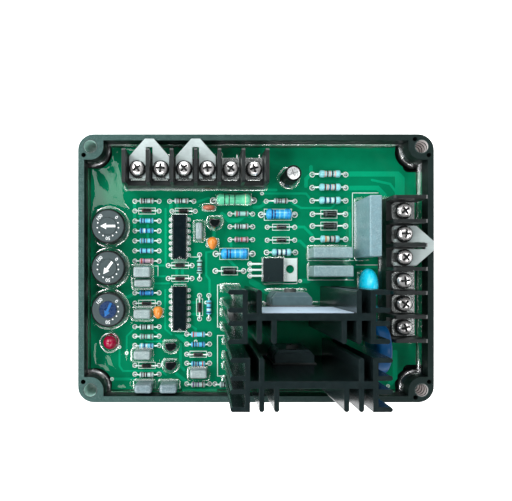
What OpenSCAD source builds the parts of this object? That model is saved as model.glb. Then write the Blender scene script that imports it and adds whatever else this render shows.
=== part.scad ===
// Potted automatic voltage regulator: a moulded tray, a green board cast in clear resin,
// two barrier terminal strips, three trimmers and two tall finned heatsinks.
// Millimetres. X runs to the right, Y to the rear, Z up. The origin is the centre of the underside.

/* [Case] */
// Outside length of the tray
case_l = 146; // [146:1:156]
// Outside width of the tray
case_w = 110; // [110:1:120]
// Height of the tray rim
case_h = 23; // [21:0.5:23]
// Wall thickness of the tray
wall = 2.5; // [2:0.5:2.5]
// Floor thickness of the tray
floor_t = 2.5; // [2:0.5:4]
// Outside corner radius of the tray
corner_r = 6.5; // [4:0.5:7]
// Distance from each edge to a mounting hole
hole_inset = 5; // [5:0.5:6]
// Bore of the metal mounting bushes
bush_bore = 5; // [4:0.5:5]
// Outside diameter of the metal mounting bushes
bush_d = 5.8; // [5.6:0.2:7]

/* [Board and resin] */
// Height of the underside of the board
board_z = 9.9; // [8:0.1:9.9]
// Thickness of the board
board_t = 1.6; // [1:0.2:1.6]
// Height of the resin surface
resin_z = 15.5; // [13:0.5:15.5]

/* [Terminals] */
// Number of ways in each strip
ways = 6; // [6:1:6]
// Pitch of the ways
way_p = 9.5; // [9.5:0.1:9.6]
// Thickness of the barriers
barrier_t = 1.4; // [1.2:0.1:2]
// Height of the barrier tops
barrier_z = 31.5; // [31:0.5:34]
// Height of the contact plates' top face
contact_z = 23.2; // [23.2:0.1:24]

/* [Trimmers] */
// Diameter of the trimmer housings
trim_d = 14.4; // [13:0.2:14.6]
// Diameter of the arrow discs
rotor_d = 7.2; // [6:0.2:7.4]
// Height of the trimmer housings' top face
trim_z = 20.6; // [19:0.2:21]

/* [Heatsinks] */
// Height of the heatsink tops
sink_z = 67; // [50:1:70]
// Thickness of the heatsink web
web_t = 2.4; // [2:0.2:2.4]
// Thickness of the fins
fin_t = 1.7; // [1.4:0.1:1.8]
// Depth of the heatsink profile
sink_d = 17.8; // [17:0.2:18]

/* [Hidden] */
$fn = 48;
board_top = board_z + board_t;
hole_x = case_l / 2 - hole_inset;
hole_y = case_w / 2 - hole_inset;
in_l = case_l - 2 * wall;
in_w = case_w - 2 * wall;
boss_r = 5.4;
bay_z = contact_z - 1;
link_t = 0.8;

// Places of the two strips: the middle of the screw row and the turn about Z
strip_top = [-24.7, 40.5, 0];
strip_right = [60.2, -0.3, -90];
// Ways that carry a link, counted from the strip's own left end
linked_top = [0, 1, 2, 3];
linked_right = [1, 2];

// Trimmers: middle of each and the way its arrow points
trims = [[-61.1, 17.5, 180], [-61.1, 0.2, -126], [-61.1, -17.2, -114]];
lamp = [-61, -31.3];

// Heatsinks: middle of each profile
sink_rear = [13.2, -16.3];
sink_front = [14, -38.7];

// Axial parts: x, y, turn, lead pitch
left_x = -45.9;
res_small = concat(
    [for (y = [29, 20.5, 16.2, 11.9, 7.6, 3.2, -10.5, -25.1, -29.2, -33.2, -45.6]) [left_x, y, 0, 10.4]],
    [for (y = [23.5, 18, 12.4]) [-5.2, y, 0, 9.8]],
    [for (y = [-28.3, -32.6, -40.9, -49.8]) [-23.8, y, 0, 9.8]],
    [[-30.9, 29, 0, 10.4], [-23.2, 0.7, 90, 10.4], [-19.2, -16.7, 90, 10], [11.7, 29, 0, 12.4], [-11.6, -49.8, 0, 10]]);
res_medium = concat(
    [for (y = [40.5, 34.8, 29.2, 12.6]) [32.6, y, 0, 14.4]],
    [[11.9, 6.9, 0, 12.4]]);
res_green = [-8.6, 29.3, 0, 17.4];
res_blue = [[10.6, 23.2, 0, 14.4], [-8.3, 6.3, 0, 15.8]];
dio_glass = concat(
    [for (y = [24.8, -15, -41.8]) [left_x, y, 0, 10.4]],
    [for (y = [17.8, 12.2]) [11.9, y, 0, 11.8]],
    [for (y = [1.3, -4.3]) [-31.6, y, 0, 10.2]],
    [[-30.1, 24.7, 0, 10], [-23.2, -16.7, 90, 10], [-23.8, -37, 0, 9.8]]);
dio_black = [[-10.3, -1.1, 0, 12.2], [32.6, 23.4, 0, 14.2], [32.6, 18.3, 0, 14.2]];

// Box capacitors: x, y, length along x, length along y, top height
cap_box = [[-47.3, -1.5, 7.2, 4.4, 19.5], [-47.1, -6.3, 7.2, 3, 18.5], [-47.3, -19.2, 7.2, 3.8, 19],
    [-47.3, -36.5, 7.2, 3.6, 19], [-23.6, -44.4, 7.2, 3.5, 19], [-23.4, 15.7, 2.8, 7.2, 19]];
cap_edge = [[-46.4, -49.7, 7.2, 3.6, 23], [-36.1, -49.7, 7.2, 3.6, 23]];
cap_tall = [45.6, 16.5, 4.8, 24, 34.5];
cap_long = [[31.3, 6.4, 16, 4.4, 25.4], [31.4, -1.2, 16.2, 4.6, 25.4]];
cap_orange = [[-40.8, -18.7], [-17.7, 10.7]];
cap_red = [-19.2, 25.8];
can = [14.6, 38.2];
disc_light = [46.8, -7];
disc_dark = [49.8, -32.7];
small_tr = [[-16.8, 19.7], [-35.4, -32.5], [-35.4, -40.5]];
tab_reg = [8.1, -0.6];
chips = [[-31.7, 13.4], [-31.7, -17]];

// ---------- shared shapes ----------

// A rectangle with round corners, made of squares and circles
module round_rect(l, w, r) {
    square([l - 2 * r, w], center = true);
    square([l, w - 2 * r], center = true);
    for (x = [-1, 1], y = [-1, 1]) translate([x * (l / 2 - r), y * (w / 2 - r)]) circle(r);
}

module at_corners() for (x = [-1, 1], y = [-1, 1]) translate([x * hole_x, y * hole_y]) children();

// Puts children at the place of a list entry [x, y, turn]
module placed(p) translate([p[0], p[1], 0]) rotate([0, 0, p[2]]) children();

// The inside of the tray less the corner bosses
module tray_inside() difference() {
    round_rect(in_l, in_w, 3);
    at_corners() circle(boss_r);
    // straight sides that run each boss into the two walls
    for (x = [-1, 1], y = [-1, 1]) translate([x * hole_x, y * hole_y]) {
        translate([x > 0 ? -boss_r : -20 + boss_r, y > 0 ? 0 : -20]) square(20);
        translate([x > 0 ? 0 : -20, y > 0 ? -boss_r : -20 + boss_r]) square(20);
    }
}

// The outline of the board
module board_outline() difference() {
    square([in_l - 0.6, in_w - 0.6], center = true);
    at_corners() circle(7);
    // deeper notches beside the two right bosses
    for (y = [-1, 1]) translate([hole_x + 6.5, y * (hole_y + 1.5)]) round_rect(20, 20, 2.5);
}

// Two bent leads of an axial part whose body is bl long and lies at height z
module axial_leads(p, bl, z, d = 0.6) {
    for (s = [-1, 1]) {
        translate([s * (bl / 2 - 0.3), 0, z]) rotate([0, s * 90, 0]) cylinder(d = d, h = p / 2 - bl / 2 + 0.3);
        translate([s * p / 2, 0, board_z]) cylinder(d = d + 0.1, h = z - board_z + d / 2 + 0.05);
    }
}

// A resistor body with thicker ends, turned about X
module bone(l, d, waist) {
    rotate([0, 90, 0]) rotate_extrude() polygon([[0, -l / 2], [d * 0.34, -l / 2], [d / 2, -l / 2 + 0.12 * l],
        [d / 2, -l / 2 + 0.2 * l], [waist / 2, -l / 2 + 0.29 * l], [waist / 2, l / 2 - 0.29 * l],
        [d / 2, l / 2 - 0.2 * l], [d / 2, l / 2 - 0.12 * l], [d * 0.34, l / 2], [0, l / 2]]);
}

// A plain round body with broken edges, turned about X
module barrel(l, d, c) {
    rotate([0, 90, 0]) rotate_extrude() polygon([[0, -l / 2], [d / 2 - c, -l / 2], [d / 2, -l / 2 + c],
        [d / 2, l / 2 - c], [d / 2 - c, l / 2], [0, l / 2]]);
}

// Straight pins down into the board at the given points
module pins(pts, z, d = 0.7) for (p = pts) translate([p[0], p[1], board_z]) cylinder(d = d, h = z - board_z);

// Lead holes of axial parts in the board
module axial_holes(list, d) for (p = list, s = [-1, 1])
    translate([p[0] + s * cos(p[2]) * p[3] / 2, p[1] + s * sin(p[2]) * p[3] / 2]) circle(d = d);

// Room in the resin round axial parts
module axial_rooms(list, bl, bd) for (p = list) translate([p[0], p[1]]) rotate(p[2]) {
    square([bl + 0.2, bd + 0.2], center = true);
    square([p[3] + 1.1, 1.1], center = true);
}

function box_pins(p) = p[2] > p[3] ? [[p[0] - p[2] * 0.35, p[1]], [p[0] + p[2] * 0.35, p[1]]]
    : [[p[0], p[1] - p[3] * 0.35], [p[0], p[1] + p[3] * 0.35]];
function drop_pins(p) = [[p[0] - 1.3, p[1]], [p[0] + 1.3, p[1]]];
function disc_pins(p, w) = [[p[0], p[1] - w], [p[0], p[1] + w]];
function row3(p, w) = [for (i = [-1, 0, 1]) [p[0] + i * w, p[1]]];
function chip_legs(p) = [for (s = [-1, 1], i = [-3 : 3]) [p[0] + s * 3.9, p[1] + i * 2.54]];
function trim_legs(p) = [[p[0] - 2.5, p[1] + 5], [p[0], p[1] - 5], [p[0] + 2.5, p[1] + 5]];
function way_u(i) = (i - (ways - 1) / 2) * way_p;

all_boxes = concat(cap_box, cap_edge, [cap_tall], cap_long);

// Every hole drilled in the board
module board_holes() {
    axial_holes(concat(res_small, dio_glass), 0.7);
    axial_holes(concat(res_medium, dio_black), 0.8);
    axial_holes(concat([res_green], res_blue), 0.9);
    for (b = all_boxes) for (q = box_pins(b)) translate(q) circle(d = 0.7);
    for (b = concat(cap_orange, [cap_red])) for (q = drop_pins(b)) translate(q) circle(d = 0.7);
    for (q = drop_pins(can)) translate(q) circle(d = 0.7);
    for (q = drop_pins(lamp)) translate(q) circle(d = 0.7);
    for (q = disc_pins(disc_light, 3.75)) translate(q) circle(d = 0.9);
    for (q = disc_pins(disc_dark, 5)) translate(q) circle(d = 0.9);
    for (t = small_tr) for (q = row3(t, 1.27)) translate(q) circle(d = 0.6);
    for (c = chips) for (q = chip_legs(c)) translate(q) circle(d = 0.6);
    for (t = trims) for (q = trim_legs(t)) translate(q) circle(d = 0.8);
    for (i = [-1 : 1]) translate([tab_reg[0] - 9.6, tab_reg[1] + i * 2.54]) circle(d = 0.9);
    for (s = [strip_top, strip_right]) translate([s[0], s[1]]) rotate(s[2])
        for (i = [0 : ways - 1]) translate([way_u(i), -3.4]) circle(d = 1.3);
    for (h = [sink_rear, sink_front]) translate(h) {
        for (s = [-1, 1]) translate([s * 23.35, 0]) circle(d = 2);
        for (i = [-1 : 1]) translate([i * 5.45, device_y + 1]) circle(d = 1.1);
    }
}

device_y = web_t / 2 + 0.5;

// The heatsink profile: a web between two end walls, inner fins and outward fins
module sink_profile() {
    square([44, web_t], center = true);
    for (s = [-1, 1]) {
        translate([s * 21.1 - fin_t / 2, -sink_d / 2]) square([fin_t, sink_d]);
        for (v = [-1, 1]) fin_y(s * 16.4, v);
        fin_y(s * 11.5, -1);
        for (y = [-sink_d / 2 + 0.8, -2.2, 2.2, sink_d / 2 - 0.8]) {
            translate([s > 0 ? 21.1 : -25.9, y - 0.8]) square([4.8, 1.6]);
            translate([s * 25.9, y]) circle(0.8);
        }
    }
}

// One inner fin with a round tip, on side v of the web
module fin_y(x, v) {
    translate([x - fin_t / 2, v > 0 ? 0 : -sink_d / 2 + fin_t / 2]) square([fin_t, sink_d / 2 - fin_t / 2]);
    translate([x, v * (sink_d / 2 - fin_t / 2)]) circle(fin_t / 2);
}

// ---------- tray, board, resin ----------

module case() color([0.05, 0.06, 0.06]) difference() {
    union() {
        difference() {
            linear_extrude(case_h) round_rect(case_l, case_w, corner_r);
            translate([0, 0, floor_t]) linear_extrude(case_h) tray_inside();
        }
    }
    at_corners() translate([0, 0, -1]) cylinder(d = bush_d, h = case_h + 2);
    // pilot holes beside the bushes
    for (q = [[-1, 1, -2.7, -3.5], [-1, -1, -2.9, 3.4], [1, 1, -2.7, 3], [1, 1, 3, -3.5], [1, -1, 3.1, 3.4], [1, -1, -2.5, -3]])
        translate([q[0] * hole_x + q[2], q[1] * hole_y + q[3], case_h - 8]) cylinder(d = 1.9, h = 9);
}

module mounting_bushes() color([0.75, 0.76, 0.75]) at_corners() difference() {
    cylinder(d = bush_d, h = case_h);
    translate([0, 0, -1]) cylinder(d = bush_bore, h = case_h + 2);
}

module circuit_board() color([0.02, 0.45, 0.33]) translate([0, 0, board_z]) linear_extrude(board_t) difference() {
    board_outline();
    board_holes();
}

module potting_resin() color([0.75, 0.9, 0.85, 0.5]) {
    translate([0, 0, floor_t]) linear_extrude(board_z - floor_t) tray_inside();
    translate([0, 0, board_z]) linear_extrude(board_t) difference() { tray_inside(); board_outline(); }
    translate([0, 0, board_top]) linear_extrude(resin_z - board_top) difference() {
        tray_inside();
        axial_rooms(res_small, 6.2, 2.4);
        axial_rooms(dio_glass, 4.2, 1.9);
        axial_rooms(res_medium, 8.6, 3.1);
        axial_rooms(dio_black, 5.6, 2.8);
        axial_rooms([res_green], 14.6, 5.2);
        axial_rooms([res_blue[0]], 11, 4.6);
        axial_rooms([res_blue[1]], 11.6, 4.6);
        for (b = all_boxes) translate([b[0], b[1]]) square([b[2], b[3]], center = true);
        for (q = cap_orange) translate(q) square([4.6, 5.8], center = true);
        translate(cap_red) square([5.6, 2.8], center = true);
        translate(can) circle(d = 6.6);
        translate(lamp) circle(d = 6.8);
        for (t = trims) translate([t[0], t[1]]) circle(d = trim_d);
        for (t = small_tr) translate(t) circle(d = 5);
        for (c = chips) translate(c) square([9, 20], center = true);
        translate(disc_light) square([7.1, 14.2], center = true);
        translate(disc_dark) square([6.5, 20.6], center = true);
        translate([tab_reg[0] + 0.1, tab_reg[1]]) square([21.4, 10.6], center = true);
        for (s = [strip_top, strip_right]) translate([s[0], s[1]]) rotate(s[2]) strip_foot();
        for (h = [sink_rear, sink_front]) translate(h) {
            sink_profile();
            for (s = [-1, 1]) translate([s * 23.35, 0]) square([2.8, 2.8], center = true);
            translate([-8.5, web_t / 2 - 0.1]) square([17, 6]);
        }
    }
}

// ---------- terminal strips ----------

// What a strip covers on the board: its base and the feet of its barriers
module strip_foot() {
    l = ways * way_p + barrier_t;
    translate([-l / 2, -6.5]) square([l, 11.2]);
    for (i = [0 : ways]) translate([(i - ways / 2) * way_p - barrier_t / 2, 0]) square([barrier_t, 7]);
}

module terminal_block() {
    l = ways * way_p + barrier_t;
    difference() {
        union() {
            translate([-l / 2, -6.5, board_top]) cube([l, 11.2, bay_z - board_top]);
            for (i = [0 : ways]) translate([(i - ways / 2) * way_p - barrier_t / 2, 0, 0]) rotate([90, 0, 90])
                linear_extrude(barrier_t) polygon([[-6.5, board_top], [7, board_top], [7, barrier_z - 0.8],
                    [6.2, barrier_z], [-5.7, barrier_z], [-6.5, barrier_z - 0.8]]);
        }
        for (i = [0 : ways - 1]) translate([way_u(i), 0, 0]) {
            translate([0, 0, contact_z - 9]) cylinder(d = 3.8, h = 10);
            translate([0, -3.4, board_top - 1]) cylinder(d = 1.3, h = 20);
        }
        // hollows moulded into the underside of each way
        for (i = [0 : ways - 1]) translate([way_u(i) - 3, 2.6, board_top + 3]) cube([6, 6, 5]);
    }
}

module terminal_contacts() for (i = [0 : ways - 1]) translate([way_u(i), 0, 0]) {
    difference() {
        translate([0, 0, bay_z]) linear_extrude(1) polygon([[-3.6, -3.6], [-2.7, -4.5], [2.7, -4.5], [3.6, -3.6], [3.6, 4.7], [-3.6, 4.7]]);
        translate([0, 0, bay_z - 1]) cylinder(d = 3.4, h = 3);
    }
    translate([0, -3.4, board_z]) cylinder(d = 1.3, h = bay_z - board_z);
}

function lift(i, linked) = len(search(i, linked)) > 0 ? link_t : 0;

// Split lock washers under the screw heads
module terminal_washers(linked) for (i = [0 : ways - 1]) translate([way_u(i), 0, contact_z + lift(i, linked)]) difference() {
    cylinder(d = 6.9, h = 0.9);
    translate([0, 0, -1]) cylinder(d = 3.8, h = 4);
    rotate([0, 0, 70 + i * 80]) translate([0, -0.25, -1]) cube([5, 0.5, 3]);
}

// Pan head screws with a cross recess
module terminal_screws(linked) for (i = [0 : ways - 1]) translate([way_u(i), 0, contact_z + 0.9 + lift(i, linked)]) difference() {
    rotate_extrude() polygon([[0, -8.5], [1.2, -8.5], [1.7, -8], [1.7, 0], [2.8, 0], [2.8, 1.1], [2.55, 1.65], [2, 2], [1, 2.2], [0, 2.2]]);
    for (a = [0, 90]) rotate([0, 0, 35 + i * 50 + a]) translate([-1.8, -0.42, 1]) cube([3.6, 0.84, 2]);
}

// A link that joins two ways, with its nose outside the strip
module link_plate(i) translate([way_u(i) + way_p / 2, 0, contact_z]) linear_extrude(link_t) difference() {
    polygon([[-8.2, -3.6], [-8.2, 5.2], [-1.8, 12.5], [1.8, 12.5], [8.2, 5.2], [8.2, -3.6]]);
    translate([-1.35, -4]) square([2.7, 13]);
    for (s = [-1, 1]) translate([s * way_p / 2, 0]) {
        circle(d = 3.9);
        translate([-1.95, -4]) square([3.9, 4]);
    }
}

module terminal_block_top() color([0.06, 0.07, 0.07]) placed(strip_top) terminal_block();
module terminal_block_right() color([0.06, 0.07, 0.07]) placed(strip_right) terminal_block();
module terminal_contacts_top() color([0.7, 0.68, 0.6]) placed(strip_top) terminal_contacts();
module terminal_contacts_right() color([0.7, 0.68, 0.6]) placed(strip_right) terminal_contacts();
module terminal_washers_top() color([0.75, 0.77, 0.78]) placed(strip_top) terminal_washers(linked_top);
module terminal_washers_right() color([0.75, 0.77, 0.78]) placed(strip_right) terminal_washers(linked_right);
module terminal_screws_top() color([0.8, 0.81, 0.82]) placed(strip_top) terminal_screws(linked_top);
module terminal_screws_right() color([0.8, 0.81, 0.82]) placed(strip_right) terminal_screws(linked_right);
module link_plate_left() color([0.82, 0.84, 0.83]) placed(strip_top) link_plate(0);
module link_plate_middle() color([0.82, 0.84, 0.83]) placed(strip_top) link_plate(2);
module link_plate_right() color([0.82, 0.86, 0.83]) placed(strip_right) link_plate(1);

// ---------- trimmers and lamp ----------

module trimmer_body(t) color([0.08, 0.1, 0.1]) {
    translate([t[0], t[1], 0]) difference() {
        translate([0, 0, board_top]) rotate_extrude() polygon([[0, 0], [trim_d / 2, 0], [trim_d / 2, trim_z - board_top - 0.6],
            [trim_d / 2 - 0.6, trim_z - board_top], [0, trim_z - board_top]]);
        translate([0, 0, trim_z - 1.2]) cylinder(d = rotor_d + 0.16, h = 2);
        translate([0, 0, trim_z - 6]) cylinder(d = 3.1, h = 7);
    }
    pins(trim_legs(t), board_top + 0.5, 0.8);
}

module trimmer_dials() color([0.45, 0.5, 0.5]) for (t = trims) translate([t[0], t[1], trim_z]) difference() {
    cylinder(d = 13, h = 0.4);
    translate([0, 0, -1]) cylinder(d = rotor_d + 0.16, h = 3);
}

// The arrow disc: a shaft in the housing and a disc with an arrow cut into its face
module trimmer_rotor(t) color([0.5, 0.54, 0.54]) translate([t[0], t[1], 0]) rotate([0, 0, t[2]]) difference() {
    union() {
        translate([0, 0, trim_z - 1]) cylinder(d = rotor_d, h = 1.6);
        translate([0, 0, trim_z - 5.6]) cylinder(d = 3, h = 5);
    }
    translate([0, 0, trim_z + 0.2]) linear_extrude(1) {
        translate([-3, -0.55]) square([4.2, 1.1]);
        polygon([[0.9, -1.3], [3.1, 0], [0.9, 1.3]]);
    }
}

module trimmer_1_body() trimmer_body(trims[0]);
module trimmer_2_body() trimmer_body(trims[1]);
module trimmer_3_body() trimmer_body(trims[2]);
module trimmer_1_rotor() trimmer_rotor(trims[0]);
module trimmer_2_rotor() trimmer_rotor(trims[1]);
module trimmer_3_rotor() trimmer_rotor(trims[2]);

module indicator_lamp() color([0.85, 0.08, 0.05]) {
    translate([lamp[0], lamp[1], board_top + 0.6]) {
        cylinder(d = 6.6, h = 1);
        cylinder(d = 5.8, h = 4);
        translate([0, 0, 4]) intersection() { sphere(2.9); translate([-4, -4, 0]) cube(8); }
    }
    pins(drop_pins(lamp), board_top + 0.8);
}

// ---------- chips ----------

module chip_body(c) color([0.05, 0.08, 0.07]) translate([c[0], c[1], board_top + 1.1]) difference() {
    rotate([90, 0, 0]) translate([0, 0, -9.4]) linear_extrude(18.8)
        polygon([[-3.1, 0], [3.1, 0], [3.4, 1.6], [3.4, 1.9], [2.7, 3.4], [-2.7, 3.4], [-3.4, 1.9], [-3.4, 1.6]]);
    translate([0, -9.4, 2.6]) cylinder(d = 2, h = 2);
}
module chip_upper() chip_body(chips[0]);
module chip_lower() chip_body(chips[1]);

module chip_pins() color([0.75, 0.77, 0.76]) for (c = chips, s = [-1, 1], i = [-3 : 3]) translate([c[0], c[1] + i * 2.54, 0]) {
    translate([s > 0 ? 3.4 : -4.1, -0.7, board_top + 2.7]) cube([0.7, 1.4, 0.3]);
    translate([s * 3.95 - 0.15, -0.7, board_top + 0.5]) cube([0.3, 1.4, 2.4]);
    translate([s * 3.9, 0, board_z]) cylinder(d = 0.6, h = board_t + 0.9);
}

// ---------- axial parts ----------

module resistors_small() color([0.6, 0.75, 0.82]) for (p = res_small) placed(p) {
    translate([0, 0, board_top + 1.4]) bone(6.2, 2.4, 2);
    axial_leads(p[3], 6.2, board_top + 1.4);
}
module resistors_medium() color([0.5, 0.78, 0.85]) for (p = res_medium) placed(p) {
    translate([0, 0, board_top + 1.8]) bone(8.6, 3.1, 2.7);
    axial_leads(p[3], 8.6, board_top + 1.8, 0.7);
}
module resistor_green() color([0.3, 0.6, 0.42]) placed(res_green) {
    translate([0, 0, board_top + 2.8]) bone(14.6, 5.2, 4.6);
    axial_leads(res_green[3], 14.6, board_top + 2.8, 0.8);
}
module resistors_blue() color([0.55, 0.75, 0.85]) for (i = [0, 1]) placed(res_blue[i]) {
    translate([0, 0, board_top + 2.5]) bone(i == 0 ? 11 : 11.6, 4.6, 4);
    axial_leads(res_blue[i][3], i == 0 ? 11 : 11.6, board_top + 2.5, 0.8);
}
module diodes_glass() color([0.7, 0.25, 0.12]) for (p = dio_glass) placed(p) {
    translate([0, 0, board_top + 1.2]) barrel(4.2, 1.9, 0.4);
    axial_leads(p[3], 4.2, board_top + 1.2);
}
module diodes_black() color([0.05, 0.06, 0.06]) for (p = dio_black) placed(p) {
    translate([0, 0, board_top + 1.6]) barrel(5.6, 2.8, 0.25);
    axial_leads(p[3], 5.6, board_top + 1.6, 0.7);
}

// ---------- capacitors and varistors ----------

// A moulded box with broken top edges, on two pins
module box_cap(b) {
    translate([b[0], b[1], 0]) difference() {
        translate([-b[2] / 2, -b[3] / 2, board_top + 0.4]) cube([b[2], b[3], b[4] - board_top - 0.4]);
        for (s = [-1, 1]) {
            translate([s * b[2] / 2, 0, b[4]]) rotate([0, 45, 0]) cube([0.7, b[3] + 2, 0.7], center = true);
            translate([0, s * b[3] / 2, b[4]]) rotate([45, 0, 0]) cube([b[2] + 2, 0.7, 0.7], center = true);
        }
    }
    pins(box_pins(b), board_top + 0.6);
}
module capacitors_box() color([0.55, 0.58, 0.6]) for (b = cap_box) box_cap(b);
module capacitors_edge() color([0.6, 0.63, 0.64]) for (b = cap_edge) box_cap(b);
module capacitor_film_tall() color([0.42, 0.48, 0.52]) box_cap(cap_tall);
module capacitors_film_long() color([0.42, 0.46, 0.5]) for (b = cap_long) box_cap(b);

// A dipped drop: a flat lens turned about Y
module drop(p, w, t, h) {
    translate([p[0], p[1], board_top + 1.4 + h / 2]) rotate([90, 0, 0]) rotate_extrude()
        polygon([[0, -t / 2], [w * 0.34, -t / 2], [w * 0.45, -t * 0.36], [w / 2, -t * 0.12], [w / 2, t * 0.12],
            [w * 0.45, t * 0.36], [w * 0.34, t / 2], [0, t / 2]]);
    pins(drop_pins(p), board_top + 1.4 + h * 0.3);
}
// A dipped drop that lies along Y with its narrow end toward -Y
module egg(p) {
    translate([p[0], p[1], board_top + 3.9]) rotate([90, 0, 0]) rotate_extrude()
        polygon([[0, -2.6], [1.1, -2.35], [1.75, -1.6], [2.1, -0.5], [2.05, 0.5], [1.65, 1.6], [1.1, 2.4], [0.5, 2.7], [0, 2.7]]);
    pins(drop_pins(p), board_top + 2.9);
}
module capacitors_orange() color([0.86, 0.5, 0.16]) for (p = cap_orange) egg(p);
module capacitor_red() color([0.82, 0.3, 0.16]) drop(cap_red, 5.2, 2.4, 5.2);

module capacitor_can() color([0.1, 0.11, 0.12]) {
    translate([can[0], can[1], board_top + 0.5]) rotate_extrude() polygon([[0, 0], [3, 0], [3.25, 0.3], [3.25, 1.4], [3, 1.8],
        [3, 2.2], [3.25, 2.6], [3.25, 15.6], [2.9, 16], [2.5, 16], [2.5, 15.8], [0, 15.8]]);
    pins(drop_pins(can), board_top + 0.8);
}

// A dipped disc that stands on edge along Y; flat widens its two faces
module disc(p, d, t, z, flat = 0) {
    a = 0.38 + 0.1 * flat;
    b = 0.26 + 0.14 * flat;
    c = 0.08 + 0.1 * flat;
    translate([p[0], p[1], z]) rotate([0, 90, 0]) rotate_extrude() polygon([[0, -t / 2], [d * 0.2, -t * (0.47 + 0.03 * flat)], [d * 0.34, -t * a],
        [d * 0.44, -t * b], [d / 2, -t * c], [d / 2, t * c], [d * 0.44, t * b], [d * 0.34, t * a], [d * 0.2, t * (0.47 + 0.03 * flat)], [0, t / 2]]);
}
module varistor_light() color([0.2, 0.68, 0.82]) {
    disc(disc_light, 14, 6.9, board_top + 9);
    pins(disc_pins(disc_light, 3.75), board_top + 4, 0.9);
}
module varistor_dark() color([0.08, 0.3, 0.5]) {
    disc(disc_dark, 20.4, 6.3, board_top + 12.4, 1);
    pins(disc_pins(disc_dark, 5), board_top + 5, 0.9);
}

// ---------- transistors and power devices ----------

module transistors_small() color([0.04, 0.05, 0.05]) for (t = small_tr) {
    translate([t[0], t[1], board_top + 1.6]) intersection() {
        cylinder(d = 4.8, h = 4.6);
        translate([-3, -3, -1]) cube([6, 4.2, 8]);
    }
    pins(row3(t, 1.27), board_top + 1.8, 0.6);
}

module tab_regulator_body() color([0.06, 0.07, 0.07]) translate([tab_reg[0], tab_reg[1], 0]) difference() {
    rotate([90, 0, 0]) translate([0, 0, -5]) linear_extrude(10)
        polygon([[-4.5, board_top + 1.3], [4.5, board_top + 1.3], [4.3, board_top + 4.6], [-4.3, board_top + 4.6]]);
    translate([-2.6, -3.2, board_top + 4.3]) cylinder(d = 1.4, h = 1);
}
module tab_regulator_metal() color([0.7, 0.72, 0.72]) translate([tab_reg[0], tab_reg[1], 0]) {
    difference() {
        translate([-4.5, -5, board_top]) cube([15, 10, 1.3]);
        translate([7.6, 0.3, board_top - 1]) cylinder(d = 3.6, h = 4);
    }
    for (i = [-1 : 1]) translate([0, i * 2.54, 0]) {
        translate([-9.9, -0.4, board_top + 2.2]) cube([5.4, 0.8, 0.5]);
        translate([-9.9, -0.4, board_top + 0.4]) cube([0.5, 0.8, 2]);
        translate([-9.6, 0, board_z]) cylinder(d = 0.9, h = board_t + 0.8);
    }
}

module heatsink(h) color([0.1, 0.11, 0.12]) translate([h[0], h[1], board_top]) difference() {
    linear_extrude(sink_z - board_top) sink_profile();
    translate([0, 0, 16]) rotate([90, 0, 0]) cylinder(d = 3, h = 8, center = true);
}
module heatsink_rear() heatsink(sink_rear);
module heatsink_front() heatsink(sink_front);

module heatsink_pins() color([0.72, 0.72, 0.7]) for (h = [sink_rear, sink_front], s = [-1, 1]) translate([h[0] + s * 23.35, h[1], 0]) {
    translate([0, 0, board_top]) cylinder(d = 2.7, h = 10);
    translate([0, 0, board_z]) cylinder(d = 2, h = board_t + 0.5);
}

// A power package standing against the web, its screw hole 16 above the board
module power_device(h) color([0.16, 0.18, 0.18]) translate([h[0], h[1] + device_y, 0]) difference() {
    translate([0, 0, board_top + 2]) linear_extrude(20) polygon([[-7.8, 0], [7.8, 0], [7.8, 2.8], [5.9, 5], [-5.9, 5], [-7.8, 2.8]]);
    translate([0, -1, board_top + 16]) rotate([-90, 0, 0]) cylinder(d = 3.6, h = 8);
    // side notches beside the screw and the sloped nose
    for (s = [-1, 1]) translate([s * 7.8, -1, board_top + 16]) rotate([-90, 0, 0]) cylinder(d = 4.4, h = 8);
    translate([-9, 5, board_top + 22]) rotate([45, 0, 0]) cube([18, 1.4, 1.4], center = false);
    translate([-9, 3.6, board_top + 21.6]) cube([18, 3, 2]);
}
module power_device_rear() power_device(sink_rear);
module power_device_front() power_device(sink_front);

module power_device_leads() color([0.75, 0.75, 0.72]) for (h = [sink_rear, sink_front], i = [-1 : 1])
    translate([h[0] + i * 5.45, h[1] + device_y + 1, board_z]) cylinder(d = 1.1, h = board_t + 2);

module insulating_pads() color([0.6, 0.62, 0.62]) for (h = [sink_rear, sink_front]) translate([h[0], h[1] + web_t / 2, 0]) difference() {
    translate([-8.5, 0, board_top + 1]) cube([17, 0.5, 22]);
    translate([0, -1, board_top + 16]) rotate([-90, 0, 0]) cylinder(d = 3.4, h = 3);
}

module device_screws() color([0.78, 0.78, 0.76]) for (h = [sink_rear, sink_front]) translate([h[0], h[1] + device_y + 5, board_top + 16]) rotate([90, 0, 0]) {
    difference() {
        translate([0, 0, -1.4]) cylinder(d = 4.8, h = 1.4);
        for (a = [0, 90]) rotate([0, 0, a]) translate([-1.5, -0.35, -3]) cube([3, 0.7, 2.2]);
    }
    cylinder(d = 3, h = 9.5);
}

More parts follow.
